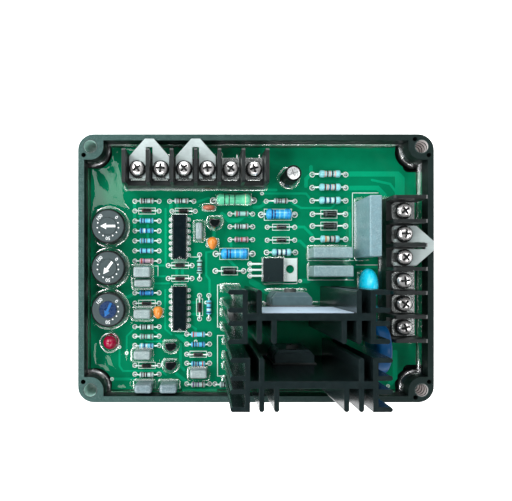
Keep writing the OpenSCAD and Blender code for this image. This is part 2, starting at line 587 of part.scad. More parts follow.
case();
mounting_bushes();
circuit_board();
potting_resin();
terminal_block_top();
terminal_block_right();
terminal_contacts_top();
terminal_contacts_right();
terminal_washers_top();
terminal_washers_right();
terminal_screws_top();
terminal_screws_right();
link_plate_left();
link_plate_middle();
link_plate_right();
trimmer_1_body();
trimmer_2_body();
trimmer_3_body();
trimmer_dials();
trimmer_1_rotor();
trimmer_2_rotor();
trimmer_3_rotor();
indicator_lamp();
chip_upper();
chip_lower();
chip_pins();
resistors_small();
resistors_medium();
resistor_green();
resistors_blue();
diodes_glass();
diodes_black();
capacitors_box();
capacitors_edge();
capacitor_film_tall();
capacitors_film_long();
capacitors_orange();
capacitor_red();
capacitor_can();
varistor_light();
varistor_dark();
transistors_small();
tab_regulator_body();
tab_regulator_metal();
heatsink_rear();
heatsink_front();
heatsink_pins();
power_device_rear();
power_device_front();
power_device_leads();
insulating_pads();
device_screws();
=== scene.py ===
import bpy
import bmesh
import math
import random
import numpy as np
from mathutils import Matrix, Vector


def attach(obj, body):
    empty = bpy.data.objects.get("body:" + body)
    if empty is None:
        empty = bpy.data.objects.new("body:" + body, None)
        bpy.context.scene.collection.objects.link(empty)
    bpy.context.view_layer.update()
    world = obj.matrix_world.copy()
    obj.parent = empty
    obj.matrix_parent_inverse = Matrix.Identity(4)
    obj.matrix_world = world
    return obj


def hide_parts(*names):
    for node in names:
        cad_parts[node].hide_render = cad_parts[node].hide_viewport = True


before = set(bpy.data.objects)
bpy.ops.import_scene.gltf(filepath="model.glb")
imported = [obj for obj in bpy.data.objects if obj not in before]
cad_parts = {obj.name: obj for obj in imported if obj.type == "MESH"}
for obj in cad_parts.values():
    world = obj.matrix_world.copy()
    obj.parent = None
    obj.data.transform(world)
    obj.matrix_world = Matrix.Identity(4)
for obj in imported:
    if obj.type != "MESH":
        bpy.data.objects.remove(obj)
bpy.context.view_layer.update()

ROOT = "regulator"
MM = 0.001
BOARD_Z, BOARD_TOP, RESIN_Z = 9.9, 11.5, 15.5
rng = random.Random(11)

# ------------------------------------------------------------------ camera
# The view is straight down: (CAM_X, CAM_Y, CAM_Z) in mm, with the point below it at pixel (203, 272).
CAM_X, CAM_Y, CAM_Z, FOCAL = -21.73, -1.52, 244.1, 539.0
NADIR = (203.0, 272.0)
W, H = 512, 501


def P(u, v, z=BOARD_TOP):
    """The point of the plane at height z, in mm, that the camera sees at (u, v)."""
    k = (CAM_Z - z) / FOCAL
    return (CAM_X + (u - NADIR[0]) * k, CAM_Y - (v - NADIR[1]) * k)


cam_data = bpy.data.cameras.new("view")
cam_data.sensor_fit = "HORIZONTAL"
cam_data.sensor_width = 36.0
cam_data.lens = FOCAL / W * 36.0
cam_data.shift_x = (W / 2 - NADIR[0]) / W
cam_data.shift_y = (NADIR[1] - H / 2) / W
cam_data.clip_start = 0.01
cam_data.clip_end = 20
cam = bpy.data.objects.new("view", cam_data)
cam.location = (CAM_X * MM, CAM_Y * MM, CAM_Z * MM)
bpy.context.scene.collection.objects.link(cam)
bpy.context.scene.camera = cam
bpy.context.scene.view_settings.view_transform = "Standard"


# ------------------------------------------------------------------ colours and materials
def lin(r, g, b):
    def f(c):
        c /= 255.0
        return c / 12.92 if c <= 0.04045 else ((c + 0.055) / 1.055) ** 2.4
    return (f(r), f(g), f(b))


def shade(c, k):
    return tuple(min(1.0, x * k) for x in c)


class Mat:
    """A small helper round one node tree with a Principled shader."""

    def __init__(self, name):
        self.m = bpy.data.materials.new(name)
        self.m.use_nodes = True
        self.nt = self.m.node_tree
        self.nt.nodes.clear()
        self.out = self.node("ShaderNodeOutputMaterial")
        self.b = self.node("ShaderNodeBsdfPrincipled")
        self.nt.links.new(self.b.outputs[0], self.out.inputs[0])
        self.coord = self.node("ShaderNodeTexCoord").outputs["Object"]

    def node(self, kind):
        return self.nt.nodes.new(kind)

    def link(self, a, b):
        self.nt.links.new(a, b)

    def noise(self, scale, detail=4.0, rough=0.55, stretch=None, dist=0.0):
        n = self.node("ShaderNodeTexNoise")
        n.inputs["Scale"].default_value = scale
        n.inputs["Detail"].default_value = detail
        n.inputs["Roughness"].default_value = rough
        n.inputs["Distortion"].default_value = dist
        if stretch:
            mp = self.node("ShaderNodeMapping")
            mp.inputs["Scale"].default_value = stretch
            self.link(self.coord, mp.inputs["Vector"])
            self.link(mp.outputs[0], n.inputs["Vector"])
        else:
            self.link(self.coord, n.inputs["Vector"])
        return n.outputs["Fac"]

    def voronoi(self, scale, feature="F1"):
        n = self.node("ShaderNodeTexVoronoi")
        n.feature = feature
        n.inputs["Scale"].default_value = scale
        self.link(self.coord, n.inputs["Vector"])
        return n.outputs["Distance"]

    def span(self, fac, lo, hi, a=0.3, b=0.7):
        n = self.node("ShaderNodeMapRange")
        n.clamp = True
        n.inputs["From Min"].default_value = a
        n.inputs["From Max"].default_value = b
        n.inputs["To Min"].default_value = lo
        n.inputs["To Max"].default_value = hi
        self.link(fac, n.inputs["Value"])
        return n.outputs["Result"]

    def mix(self, fac, a, b, blend="MIX"):
        n = self.node("ShaderNodeMix")
        n.data_type = "RGBA"
        n.blend_type = blend
        if isinstance(fac, float):
            n.inputs[0].default_value = fac
        else:
            self.link(fac, n.inputs[0])
        for sock, v in ((n.inputs[6], a), (n.inputs[7], b)):
            if isinstance(v, tuple):
                sock.default_value = (*v, 1)
            else:
                self.link(v, sock)
        return n.outputs[2]

    def math(self, op, a, b):
        n = self.node("ShaderNodeMath")
        n.operation = op
        for sock, v in ((n.inputs[0], a), (n.inputs[1], b)):
            if isinstance(v, (int, float)):
                sock.default_value = v
            else:
                self.link(v, sock)
        return n.outputs[0]

    def color(self, sock):
        self.link(sock, self.b.inputs["Base Color"])

    def rough(self, sock):
        self.link(sock, self.b.inputs["Roughness"])

    def bump(self, height, strength, distance):
        n = self.node("ShaderNodeBump")
        n.inputs["Strength"].default_value = strength
        n.inputs["Distance"].default_value = distance
        self.link(height, n.inputs["Height"])
        self.link(n.outputs[0], self.b.inputs["Normal"])

    def set(self, **kw):
        for k, v in kw.items():
            self.b.inputs[k.replace("_", " ")].default_value = v
        return self

    def edges(self):
        """1 along worn convex edges, 0 elsewhere."""
        g = self.node("ShaderNodeNewGeometry")
        return self.span(g.outputs["Pointiness"], 0.0, 1.0, 0.52, 0.6)


def plastic(name, col, rough=0.45, var=0.12, scale=260, grain=1500, bump=0.12, rvar=0.1, edge=0.0, coat=0.0, stain=None):
    m = Mat(name)
    fac = m.noise(scale, 5)
    c = m.mix(m.span(fac, 0, 1), shade(col, 1 - var), shade(col, 1 + var))
    if stain:
        c = m.mix(m.span(m.noise(scale * 0.25, 6, 0.65), 0, 0.6, 0.5, 0.72), c, stain)
    if edge:
        c = m.mix(m.math("MULTIPLY", m.edges(), edge), c, (0.5, 0.52, 0.52))
    m.color(c)
    m.rough(m.span(m.noise(scale * 1.7, 4), rough - rvar, rough + rvar))
    m.bump(m.noise(grain, 3), bump, 0.0002)
    m.set(Coat_Weight=coat, Coat_Roughness=0.12)
    return m.m


def metal(name, col, rough=0.3, var=0.1, scale=500, bump=0.15, stretch=None, tarnish=None, rvar=0.1, metallic=1.0):
    m = Mat(name)
    fac = m.noise(scale, 5, 0.6, stretch)
    c = m.mix(m.span(fac, 0, 1), shade(col, 1 - var), shade(col, 1 + var))
    if tarnish:
        c = m.mix(m.span(m.noise(scale * 0.4, 5), 0, 0.7, 0.52, 0.75), c, tarnish)
    m.color(c)
    m.rough(m.span(m.noise(scale * 2, 4, 0.6, stretch), rough - rvar, rough + rvar))
    m.bump(m.noise(scale * 3, 3, 0.5, stretch), bump, 0.0001)
    m.set(Metallic=metallic)
    return m.m


def painted(name, rough=0.35, var=0.1, scale=700, bump=0.08, coat=0.3, speck=0.0):
    """A lacquer whose colour is painted on the mesh, with a little mottling."""
    m = Mat(name)
    a = m.node("ShaderNodeAttribute")
    a.attribute_name = "Col"
    tone = m.mix(m.span(m.noise(scale, 4), 0, 1), (1 - var,) * 3, (1.0, 1.0, 1.0))
    c = m.mix(1.0, a.outputs["Color"], tone, "MULTIPLY")
    tone = m.mix(m.span(m.noise(scale * 0.35, 5), 0, 1), (1 - var,) * 3, (1.0, 1.0, 1.0))
    c = m.mix(1.0, c, tone, "MULTIPLY")
    if speck:
        c = m.mix(m.span(m.noise(scale * 4, 2), 0, speck, 0.55, 0.7), c, (0.75, 0.8, 0.8))
    m.color(c)
    m.rough(m.span(m.noise(scale * 1.3, 4), rough - 0.08, rough + 0.08))
    m.bump(m.noise(scale * 2, 3), bump, 0.0002)
    m.set(Coat_Weight=coat, Coat_Roughness=0.08)
    return m.m


# ------------------------------------------------------------------ mesh building, in mm
class Acc:
    """Collects faces in mm with a material index and a colour each."""

    def __init__(self):
        self.v, self.f, self.m, self.c = [], [], [], []

    def add(self, verts, faces, mat=0, col=(0.5, 0.5, 0.5), M=None):
        o = len(self.v)
        if M is not None:
            verts = [tuple(M @ Vector(p)) for p in verts]
        self.v += [tuple(p) for p in verts]
        for i, f in enumerate(faces):
            self.f.append([o + j for j in f])
            self.m.append(mat[i] if isinstance(mat, list) else mat)
            self.c.append(col[i] if isinstance(col, list) else col)

    def add_bm(self, bm, mat=0, col=(0.5, 0.5, 0.5), M=None):
        bm.verts.index_update()
        self.add([v.co[:] for v in bm.verts], [[v.index for v in f.verts] for f in bm.faces], mat, col, M)
        bm.free()

    def obj(self, name, mats, body=ROOT, nodes=(), angle=35, smooth=True, crisp=True):
        me = bpy.data.meshes.new(name)
        me.from_pydata([(x * MM, y * MM, z * MM) for x, y, z in self.v], [], self.f)
        for m in mats:
            me.materials.append(m)
        me.polygons.foreach_set("material_index", self.m)
        ca = me.color_attributes.new("Col", "FLOAT_COLOR", "CORNER")
        buf = np.empty((len(me.loops), 4), dtype=np.float32)
        for poly, c in zip(me.polygons, self.c):
            buf[poly.loop_start:poly.loop_start + poly.loop_total] = (c[0], c[1], c[2], 1)
        ca.data.foreach_set("color", buf.ravel())
        me.validate()
        if smooth:
            me.polygons.foreach_set("use_smooth", [True] * len(me.polygons))
            me.set_sharp_from_angle(angle=math.radians(angle))
        if crisp:
            # a wide flat face keeps its own normal beside the narrow round of its edge
            bm = bmesh.new()
            bm.from_mesh(me)
            for e in bm.edges:
                if e.smooth and len(e.link_faces) == 2:
                    small, wide = sorted(f.calc_area() for f in e.link_faces)
                    if wide > 8 * small and e.calc_face_angle(0) > 0.1:
                        e.smooth = False
            bm.to_mesh(me)
            bm.free()
        o = bpy.data.objects.new(name, me)
        bpy.context.scene.collection.objects.link(o)
        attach(o, body)
        if nodes:
            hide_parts(*nodes)
        return o


def rbox(x0, x1, y0, y1, z0, z1, r=0.25, seg=2):
    bm = bmesh.new()
    bmesh.ops.create_cube(bm, size=1)
    for v in bm.verts:
        v.co = ((x0 + x1) / 2 + v.co.x * (x1 - x0), (y0 + y1) / 2 + v.co.y * (y1 - y0), (z0 + z1) / 2 + v.co.z * (z1 - z0))
    if r > 0:
        bmesh.ops.bevel(bm, geom=bm.edges[:], offset=r, segments=seg, profile=0.5, affect="EDGES")
    return bm


def prism(pts, z0, z1, r=0.0, seg=2):
    """An outline pulled up from z0 to z1, with its rims rounded by r."""
    bm = bmesh.new()
    a = [bm.verts.new((x, y, z0)) for x, y in pts]
    b = [bm.verts.new((x, y, z1)) for x, y in pts]
    n = len(pts)
    bm.faces.new(a[::-1])
    bm.faces.new(b)
    for i in range(n):
        bm.faces.new((a[i], a[(i + 1) % n], b[(i + 1) % n], b[i]))
    if r > 0:
        bm.normal_update()
        es = [e for e in bm.edges if abs(e.verts[0].co.z - e.verts[1].co.z) < 1e-6 and e.verts[0].co.z > z1 - 1e-6]
        bmesh.ops.bevel(bm, geom=es, offset=r, segments=seg, profile=0.5, affect="EDGES")
    return bm


def revolve(prof, seg=28, col=None, mat=0, cap=True):
    """Turns [(r, h), ...] about Z. Returns verts, faces and, per face, the index of its profile step."""
    verts, faces, step = [], [], []
    for r, h in prof:
        for i in range(seg):
            a = 2 * math.pi * i / seg
            verts.append((r * math.cos(a), r * math.sin(a), h))
    for k in range(len(prof) - 1):
        for i in range(seg):
            j = (i + 1) % seg
            faces.append((k * seg + i, k * seg + j, (k + 1) * seg + j, (k + 1) * seg + i))
            step.append(k)
    if cap:
        for k, rev in ((0, True), (len(prof) - 1, False)):
            if prof[k][0] > 1e-6:
                ring = [k * seg + i for i in range(seg)]
                faces.append(ring[::-1] if rev else ring)
                step.append(0 if rev else len(prof) - 2)
    return verts, faces, step


def tube(pts, r, seg=8):
    """A round wire along a list of points."""
    verts, faces = [], []
    n = len(pts)
    ps = [Vector(p) for p in pts]
    ref = Vector((0, 0, 1))
    if abs((ps[1] - ps[0]).normalized().dot(ref)) > 0.9:
        ref = Vector((0, 1, 0))
    for i, p in enumerate(ps):
        t = (ps[min(i + 1, n - 1)] - ps[max(i - 1, 0)]).normalized()
        u = t.cross(ref)
        if u.length < 1e-4:
            u = t.cross(Vector((1, 0, 0)))
        u.normalize()
        w = t.cross(u).normalized()
        ref = u.cross(t)
        for k in range(seg):
            a = 2 * math.pi * k / seg
            verts.append(tuple(p + u * (r * math.cos(a)) + w * (r * math.sin(a))))
    for i in range(n - 1):
        for k in range(seg):
            j = (k + 1) % seg
            faces.append((i * seg + k, i * seg + j, (i + 1) * seg + j, (i + 1) * seg + k))
    faces.append(tuple(range(seg))[::-1])
    faces.append(tuple((n - 1) * seg + k for k in range(seg)))
    return verts, faces


def place(x, y, rot=0.0, z=0.0):
    return Matrix.Translation((x, y, z)) @ Matrix.Rotation(math.radians(rot), 4, "Z")


def along_x(z):
    return Matrix.Translation((0, 0, z)) @ Matrix.Rotation(math.radians(90), 4, "Y")


def copied(node, name, mats, width=0.2, seg=2, angle=30, body=ROOT, extra=None, dissolve=True, pick=None):
    """A piece with the node's own shape and softly rounded edges; pick gives a face its material by place and normal."""
    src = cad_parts[node]
    me = src.data.copy()
    bm = bmesh.new()
    bm.from_mesh(me)
    bmesh.ops.remove_doubles(bm, verts=bm.verts, dist=2e-6)
    if dissolve:
        bmesh.ops.dissolve_limit(bm, angle_limit=math.radians(0.6), verts=bm.verts, edges=bm.edges)
    bm.normal_update()
    if width > 0:
        sharp = [e for e in bm.edges if len(e.link_faces) == 2 and e.calc_face_angle(0) > math.radians(angle)]
        bmesh.ops.bevel(bm, geom=sharp, offset=width * MM, segments=seg, profile=0.5, affect="EDGES", clamp_overlap=True)
    acc = Acc()
    bm.verts.index_update()
    bm.normal_update()
    which = [pick(f.calc_center_median() / MM, f.normal) for f in bm.faces] if pick else 0
    acc.add([(v.co.x / MM, v.co.y / MM, v.co.z / MM) for v in bm.verts], [[v.index for v in f.verts] for f in bm.faces], which)
    bm.free()
    if extra:
        extra(acc)
    return acc.obj(name, mats, body, (node,))


# ------------------------------------------------------------------ palette
M_TERM = plastic("strip_plastic", lin(9, 17, 17), 0.4, 0.15, 300, 2200, 0.15, 0.1)
M_CHIP = plastic("epoxy_black", lin(7, 20, 24), 0.17, 0.2, 500, 2500, 0.02, 0.04)
M_EPOXY = plastic("epoxy_dark", lin(22, 38, 40), 0.3, 0.08, 900, 3000, 0.02, 0.02)
M_DEVICE = plastic("epoxy_grey", lin(80, 104, 108), 0.42, 0.12, 400, 3000, 0.15, 0.08)
M_TRIM = plastic("trimmer_black", lin(16, 22, 22), 0.35, 0.2, 400, 2500, 0.12)
M_DIAL = plastic("dial_grey", lin(50, 64, 66), 0.45, 0.1, 600, 3500, 0.15, 0.08, stain=lin(46, 58, 60))
M_NAVY = plastic("seal_navy", lin(18, 44, 82), 0.3, 0.3, 500, 2500, 0.12, stain=lin(14, 30, 56))
M_BLUE_INK = plastic("seal_blue", lin(16, 92, 158), 0.35, 0.2, 900, 2500, 0.1)
M_LABEL = plastic("pale_strip", lin(186, 204, 222), 0.35, 0.06, 60, 900, 0.05, stain=lin(196, 210, 222))
M_WHITE_INK = plastic("ink_white", lin(238, 240, 240), 0.55, 0.06, 1500, 4000, 0.1)
# painted shade: near-black for the shade in recesses, namely screw crosses, thread grooves and the can's vent scores
M_RECESS_SHADE = plastic("painted_recess_shade", lin(12, 16, 16), 0.6, 0.2, 800, 3000, 0.1)
M_PAD_SHEET = plastic("silicone_grey", lin(92, 98, 98), 0.6, 0.1, 700, 4000, 0.15)
M_STEEL = metal("plated_steel", lin(242, 238, 237), 0.17, 0.07, 600, 0.2, tarnish=lin(222, 212, 209), rvar=0.06, metallic=0.72)
M_CONTACT = metal("contact_plate", lin(222, 226, 224), 0.22, 0.08, 600, 0.08, tarnish=lin(150, 160, 158), rvar=0.06, metallic=0.95)
M_ZINC = metal("dull_zinc", lin(92, 96, 94), 0.5, 0.1, 600, 0.1, metallic=0.5)
# painted shade: the clamp washers are near-black so they read as the shadow ring round each screw head
M_WASHER_SHADE = metal("washer_painted_shade", lin(26, 30, 30), 0.3, 0.2, 600, 0.1, metallic=0.6)
M_LINK = metal("link_plate", lin(186, 198, 197), 0.42, 0.06, 420, 0.08, stretch=(1, 3, 1), tarnish=lin(172, 182, 182), metallic=0.55)
M_TIN = metal("tinned", lin(236, 242, 240), 0.24, 0.06, 1500, 0.1, metallic=0.4)
M_SOLDER = metal("solder", lin(246, 250, 248), 0.25, 0.05, 1500, 0.1, metallic=0.1)
M_BUSH = metal("bush_metal", lin(250, 242, 240), 0.2, 0.06, 600, 0.05, tarnish=lin(226, 204, 198), metallic=0.45)
# painted light: a pale matte copy of the bush metal, used for the left bushes' bores so they read lit
M_BUSH_LIT_LEFT = metal("bush_painted_light", lin(168, 200, 192), 0.5, 0.15, 700, 0.15, tarnish=lin(190, 216, 206), metallic=0.1)
M_BUSH_RIM = metal("bush_rim", lin(62, 76, 74), 0.5, 0.15, 600, 0.15, metallic=0.3)
M_TAB = metal("tab_metal", lin(248, 255, 252), 0.4, 0.05, 900, 0.12, metallic=0.15)
M_ALU = metal("can_top", lin(216, 218, 218), 0.3, 0.06, 700, 0.1, metallic=0.6)
M_LACQUER = painted("banded_lacquer", 0.3, 0.1, 900, 0.05, 0.4)
M_GLASSY = painted("glass_body", 0.12, 0.05, 1200, 0.02, 0.8)
M_DIP = painted("dipped_coat", 0.28, 0.08, 420, 0.25, 0.5)
M_DIP_DARK = painted("dipped_dark", 0.42, 0.1, 420, 0.2, 0.1)
M_DIP_DARK.node_tree.nodes["Principled BSDF"].inputs["Specular IOR Level"].default_value = 0.15
M_SLEEVE = plastic("can_sleeve", lin(8, 11, 12), 0.5, 0.15, 600, 2500, 0.05)
M_SLEEVE.node_tree.nodes["Principled BSDF"].inputs["Specular IOR Level"].default_value = 0.12
M_BOX = painted("moulded_box", 0.34, 0.2, 900, 0.4, 0.25, speck=0.4)
M_GLOSS = plastic("glossy_black", lin(10, 16, 17), 0.12, 0.2, 600, 1200, 0.25, 0.04, coat=0.5)


def tray_material():
    """Grained black moulding with painted light: faces that point up are painted paler, with pale grains, and the paler
    tone fades out from left to right as if lit from the left; the walls stay dark.
    """
    m = Mat("tray_plastic")
    geo = m.node("ShaderNodeNewGeometry")
    up = m.node("ShaderNodeSeparateXYZ")
    m.link(geo.outputs["Normal"], up.inputs[0])
    lie = m.node("ShaderNodeSeparateXYZ")
    m.link(m.coord, lie.inputs[0])
    c = m.mix(m.span(m.noise(220, 5), 0, 1), lin(13, 21, 20), lin(19, 28, 27))
    top = m.mix(m.span(m.noise(420, 5, 0.65), 0, 1), lin(50, 76, 73), lin(66, 92, 88))
    top = m.mix(m.span(m.noise(2300, 2), 0, 0.5, 0.56, 0.7), top, lin(112, 138, 133))
    # painted light: a paler tone on faces that point up, strongest on the left and gone on the right
    painted_light_up = m.span(up.outputs["Z"], 0.0, 1.0, 0.35, 0.95)
    left = m.span(lie.outputs["X"], 0.96, 0.1, -0.073, 0.05)
    m.color(m.mix(m.math("MULTIPLY", painted_light_up, left), c, top))
    m.rough(m.span(m.noise(380, 4), 0.38, 0.5))
    m.bump(m.noise(2600, 3), 0.3, 0.0002)
    m.set(Specular_IOR_Level=0.1)
    return m.m


M_CASE = tray_material()


def sink_material():
    m = Mat("anodised_black")
    fac = m.noise(500, 5, 0.6, (1, 1, 0.04))
    c = m.mix(m.span(fac, 0, 1), lin(16, 25, 26), lin(23, 33, 34))
    c = m.mix(m.span(m.noise(120, 6, 0.7), 0, 0.5, 0.55, 0.8), c, lin(22, 30, 31))
    m.color(c)
    m.rough(m.span(m.noise(260, 3, 0.6, (1, 1, 0.05)), 0.16, 0.27))
    m.bump(m.noise(420, 2, 0.5, (1, 1, 0.02)), 0.02, 0.0001)
    m.set(Specular_IOR_Level=0.3)
    return m.m


M_SINK = sink_material()


def board_material(name, col, var):
    m = Mat(name)
    fac = m.noise(120, 5, 0.6)
    c = m.mix(m.span(fac, 0, 1), shade(col, 1 - var), shade(col, 1 + var))
    weave = m.node("ShaderNodeTexWave")
    weave.wave_type = "BANDS"
    weave.bands_direction = "DIAGONAL"
    weave.inputs["Scale"].default_value = 900
    weave.inputs["Distortion"].default_value = 1.5
    m.link(m.coord, weave.inputs["Vector"])
    c = m.mix(m.span(weave.outputs["Fac"], 0, 0.08, 0.2, 0.8), c, shade(col, 1.6))
    m.color(c)
    m.rough(m.span(m.noise(300, 4), 0.28, 0.4))
    m.bump(weave.outputs["Fac"], 0.05, 0.00005)
    m.set(Specular_IOR_Level=0.02)
    return m.m


M_MASK = board_material("solder_mask", lin(0, 118, 82), 0.12)
M_TRACE = board_material("mask_over_copper", lin(4, 150, 108), 0.08)
M_SILK = plastic("silkscreen", lin(236, 252, 246), 0.6, 0.06, 1500, 4000, 0.1)
# painted shade: dark green for the dip inside each solder joint
M_JOINT_SHADE = plastic("joint_hollow_shade", lin(4, 66, 46), 0.35, 0.3, 1500, 3000, 0.1)


def resin_material():
    """Clear cast resin: it shows what is below it and mirrors the room by angle."""
    m = Mat("clear_resin")
    m.nt.nodes.remove(m.b)
    clear = m.node("ShaderNodeBsdfTransparent")
    tint = m.mix(m.span(m.noise(60, 4), 0, 1), (0.93, 0.985, 0.965), (0.97, 0.995, 0.985))
    m.link(tint, clear.inputs["Color"])
    gloss = m.node("ShaderNodeBsdfGlossy")
    # the flat face is a mirror, the rim that climbs the walls is softer
    lie = m.node("ShaderNodeSeparateXYZ")
    m.link(m.coord, lie.inputs[0])
    m.link(m.span(lie.outputs["Z"], 0.035, 0.22, 0.0156, 0.01566), gloss.inputs["Roughness"])
    bump = m.node("ShaderNodeBump")
    bump.inputs["Strength"].default_value = 0.06
    bump.inputs["Distance"].default_value = 0.0006
    m.link(m.noise(140, 3), bump.inputs["Height"])
    m.link(bump.outputs[0], gloss.inputs["Normal"])
    fres = m.node("ShaderNodeFresnel")
    fres.inputs["IOR"].default_value = 1.52
    m.link(bump.outputs[0], fres.inputs["Normal"])
    mx = m.node("ShaderNodeMixShader")
    # only the outer side of the face mirrors; light that leaves from below passes
    side = m.node("ShaderNodeNewGeometry")
    outer = m.math("SUBTRACT", 1.0, side.outputs["Backfacing"])
    rim = m.span(lie.outputs["Z"], 1.0, 4.0, 0.0156, 0.01566)
    m.link(m.math("MULTIPLY", m.math("MULTIPLY", fres.outputs[0], outer), rim), mx.inputs[0])
    m.link(clear.outputs[0], mx.inputs[1])
    m.link(gloss.outputs[0], mx.inputs[2])
    m.link(mx.outputs[0], m.out.inputs[0])
    return m.m


M_RESIN = resin_material()
# the resin's sides have let go of the tray, so they mirror the board from inside
M_RESIN_SIDE = metal("resin_side", lin(206, 226, 218), 0.12, 0.08, 300, 0.05, rvar=0.05)


def lamp_material():
    m = Mat("lamp_lens")
    c = m.mix(m.span(m.noise(900, 3), 0, 1), lin(138, 1, 42), lin(158, 3, 56))
    m.color(c)
    m.rough(m.span(m.noise(700, 3), 0.12, 0.22))
    m.bump(m.noise(1500, 2), 0.03, 0.0001)
    m.set(Coat_Weight=0.3, Coat_Roughness=0.08, Subsurface_Weight=0.3, Subsurface_Radius=(0.003, 0.0006, 0.0006))
    return m.m


M_LAMP = lamp_material()

# ------------------------------------------------------------------ where the parts stand, in mm
LEFT_X = -45.9
# GLARE_WHITE is a painted highlight: the white bands on the resistors are stripes of glare across their lacquer
GLARE_WHITE, BLACK, BROWN, RED, ORANGE, GOLD, VIOLET, GREY, NAVY = (
    lin(228, 236, 236), lin(14, 16, 20), lin(96, 58, 52), lin(182, 62, 56), lin(228, 140, 70), lin(206, 176, 112),
    lin(112, 84, 134), lin(112, 118, 122), lin(18, 44, 104))
SKY, PALE, BLUE, MAUVE, DEEP, SAGE, CREAM, ROSE = (
    lin(112, 204, 232), lin(196, 216, 216), lin(72, 178, 224), lin(200, 170, 184), lin(40, 138, 204), lin(160, 212, 204),
    lin(226, 222, 196), lin(214, 178, 172))
RES_SMALL = (
    [(LEFT_X, y, 0, 10.4, c, b) for y, c, b in (
        (29, PALE, (BROWN, BLACK, GREY, BROWN)), (20.5, SKY, (NAVY, NAVY, BLUE, NAVY)), (16.2, BLUE, (NAVY, GLARE_WHITE, NAVY, NAVY)),
        (11.9, SKY, (GREY, NAVY, GREY, NAVY)), (7.6, SKY, (NAVY, SKY, NAVY, BROWN)), (3.2, MAUVE, (RED, VIOLET, MAUVE, BROWN)),
        (-10.5, DEEP, (NAVY, NAVY, DEEP, NAVY)), (-25.1, PALE, (BLACK, GREY, BLACK, BROWN)), (-29.2, SAGE, (GREY, BROWN, GREY, BROWN)),
        (-33.2, SKY, (GLARE_WHITE, NAVY, GLARE_WHITE, NAVY)), (-45.6, PALE, (GREY, BROWN, BLACK, GREY)))]
    + [(-5.2, y, 0, 9.8, c, b) for y, c, b in (
        (23.5, SAGE, (RED, VIOLET, SAGE, BROWN)), (18, PALE, (BLACK, BLACK, GREY, BROWN)), (12.4, MAUVE, (BROWN, GREY, RED, BROWN)))]
    + [(-23.8, y, 0, 9.8, c, b) for y, c, b in (
        (-28.3, SKY, (RED, MAUVE, SKY, BROWN)), (-32.6, BLUE, (BLACK, NAVY, GREY, NAVY)), (-40.9, SKY, (NAVY, BROWN, NAVY, RED)),
        (-49.8, PALE, (VIOLET, GREY, VIOLET, BROWN)))]
    + [(-30.9, 29, 0, 10.4, PALE, (GREY, BROWN, BLACK, BROWN)), (-23.2, 0.7, 90, 10.4, SAGE, (BLACK, NAVY, BROWN, BLACK)),
       (-19.2, -16.7, 90, 10, SKY, (NAVY, GLARE_WHITE, NAVY, BROWN)), (11.7, 29, 0, 12.4, PALE, (GREY, BROWN, GREY, BROWN)),
       (-11.6, -49.8, 0, 10, PALE, (GREY, BLACK, BROWN, GREY))])
CYAN = lin(150, 220, 228)
RES_MEDIUM = [
    (32.6, 40.5, 0, 14.4, CYAN, (ROSE, BROWN, ROSE, BLACK, ROSE)), (32.6, 34.8, 0, 14.4, CYAN, (BROWN, ROSE, NAVY, ROSE, BROWN)),
    (32.6, 29.2, 0, 14.4, CYAN, (NAVY, GLARE_WHITE, NAVY, GLARE_WHITE, BLACK)), (32.6, 12.6, 0, 14.4, CYAN, (ORANGE, CREAM, BLACK, ROSE, BROWN)),
    (11.9, 6.9, 0, 12.4, CYAN, (NAVY, GLARE_WHITE, BLACK, GLARE_WHITE, NAVY))]
RES_GREEN = (-8.6, 29.3, 0, 17.4)
RES_BLUE = [(10.6, 23.2, 0, 14.4, 11.0), (-8.3, 6.3, 0, 15.8, 11.6)]
DIO_GLASS = ([(LEFT_X, y, 0, 10.4) for y in (24.8, -15, -41.8)] + [(11.9, y, 0, 11.8) for y in (17.8, 12.2)]
             + [(-31.6, y, 0, 10.2) for y in (1.3, -4.3)] + [(-30.1, 24.7, 0, 10), (-23.2, -16.7, 90, 10), (-23.8, -37, 0, 9.8)])
DIO_BLACK = [(-10.3, -1.1, 0, 12.2, 1), (32.6, 23.4, 0, 14.2, -1), (32.6, 18.3, 0, 14.2, 1)]
CAP_BOX = [(-47.3, -1.5, 7.2, 4.4, 19.5), (-47.1, -6.3, 7.2, 3, 18.5), (-47.3, -19.2, 7.2, 3.8, 19),
           (-47.3, -36.5, 7.2, 3.6, 19), (-23.6, -44.4, 7.2, 3.5, 19), (-23.4, 15.7, 2.8, 7.2, 19)]
CAP_EDGE = [(-46.4, -49.7, 7.2, 3.6, 23), (-36.1, -49.7, 7.2, 3.6, 23)]
CAP_TALL = (45.6, 16.5, 4.8, 24, 34.5)
CAP_LONG = [(31.3, 6.4, 16, 4.4, 25.4), (31.4, -1.2, 16.2, 4.6, 25.4)]
CAP_ORANGE = [(-40.8, -18.7), (-17.7, 10.7)]
CAP_RED = (-19.2, 25.8)
CAN = (14.6, 38.2)
DISC_LIGHT, DISC_DARK = (46.8, -7), (49.8, -32.7)
SMALL_TR = [(-16.8, 19.7), (-35.4, -32.5), (-35.4, -40.5)]
TAB_REG = (8.1, -0.6)
CHIPS = [(-31.7, 13.4), (-31.7, -17)]
TRIMS = [(-61.1, 17.5, 180), (-61.1, 0.2, -126), (-61.1, -17.2, -114)]
LAMP = (-61, -31.3)
SINKS = [(13.2, -16.3), (14, -38.7)]
STRIP_TOP, STRIP_RIGHT = (-24.7, 40.5, 0), (60.2, -0.3, -90)
LINKED_TOP, LINKED_RIGHT, LINK_T = (0, 1, 2, 3), (1, 2), 0.8


def way_u(i):
    return (i - 2.5) * 9.5


def turned(p, u, v):
    a = math.radians(p[2])
    return (p[0] + u * math.cos(a) - v * math.sin(a), p[1] + u * math.sin(a) + v * math.cos(a))


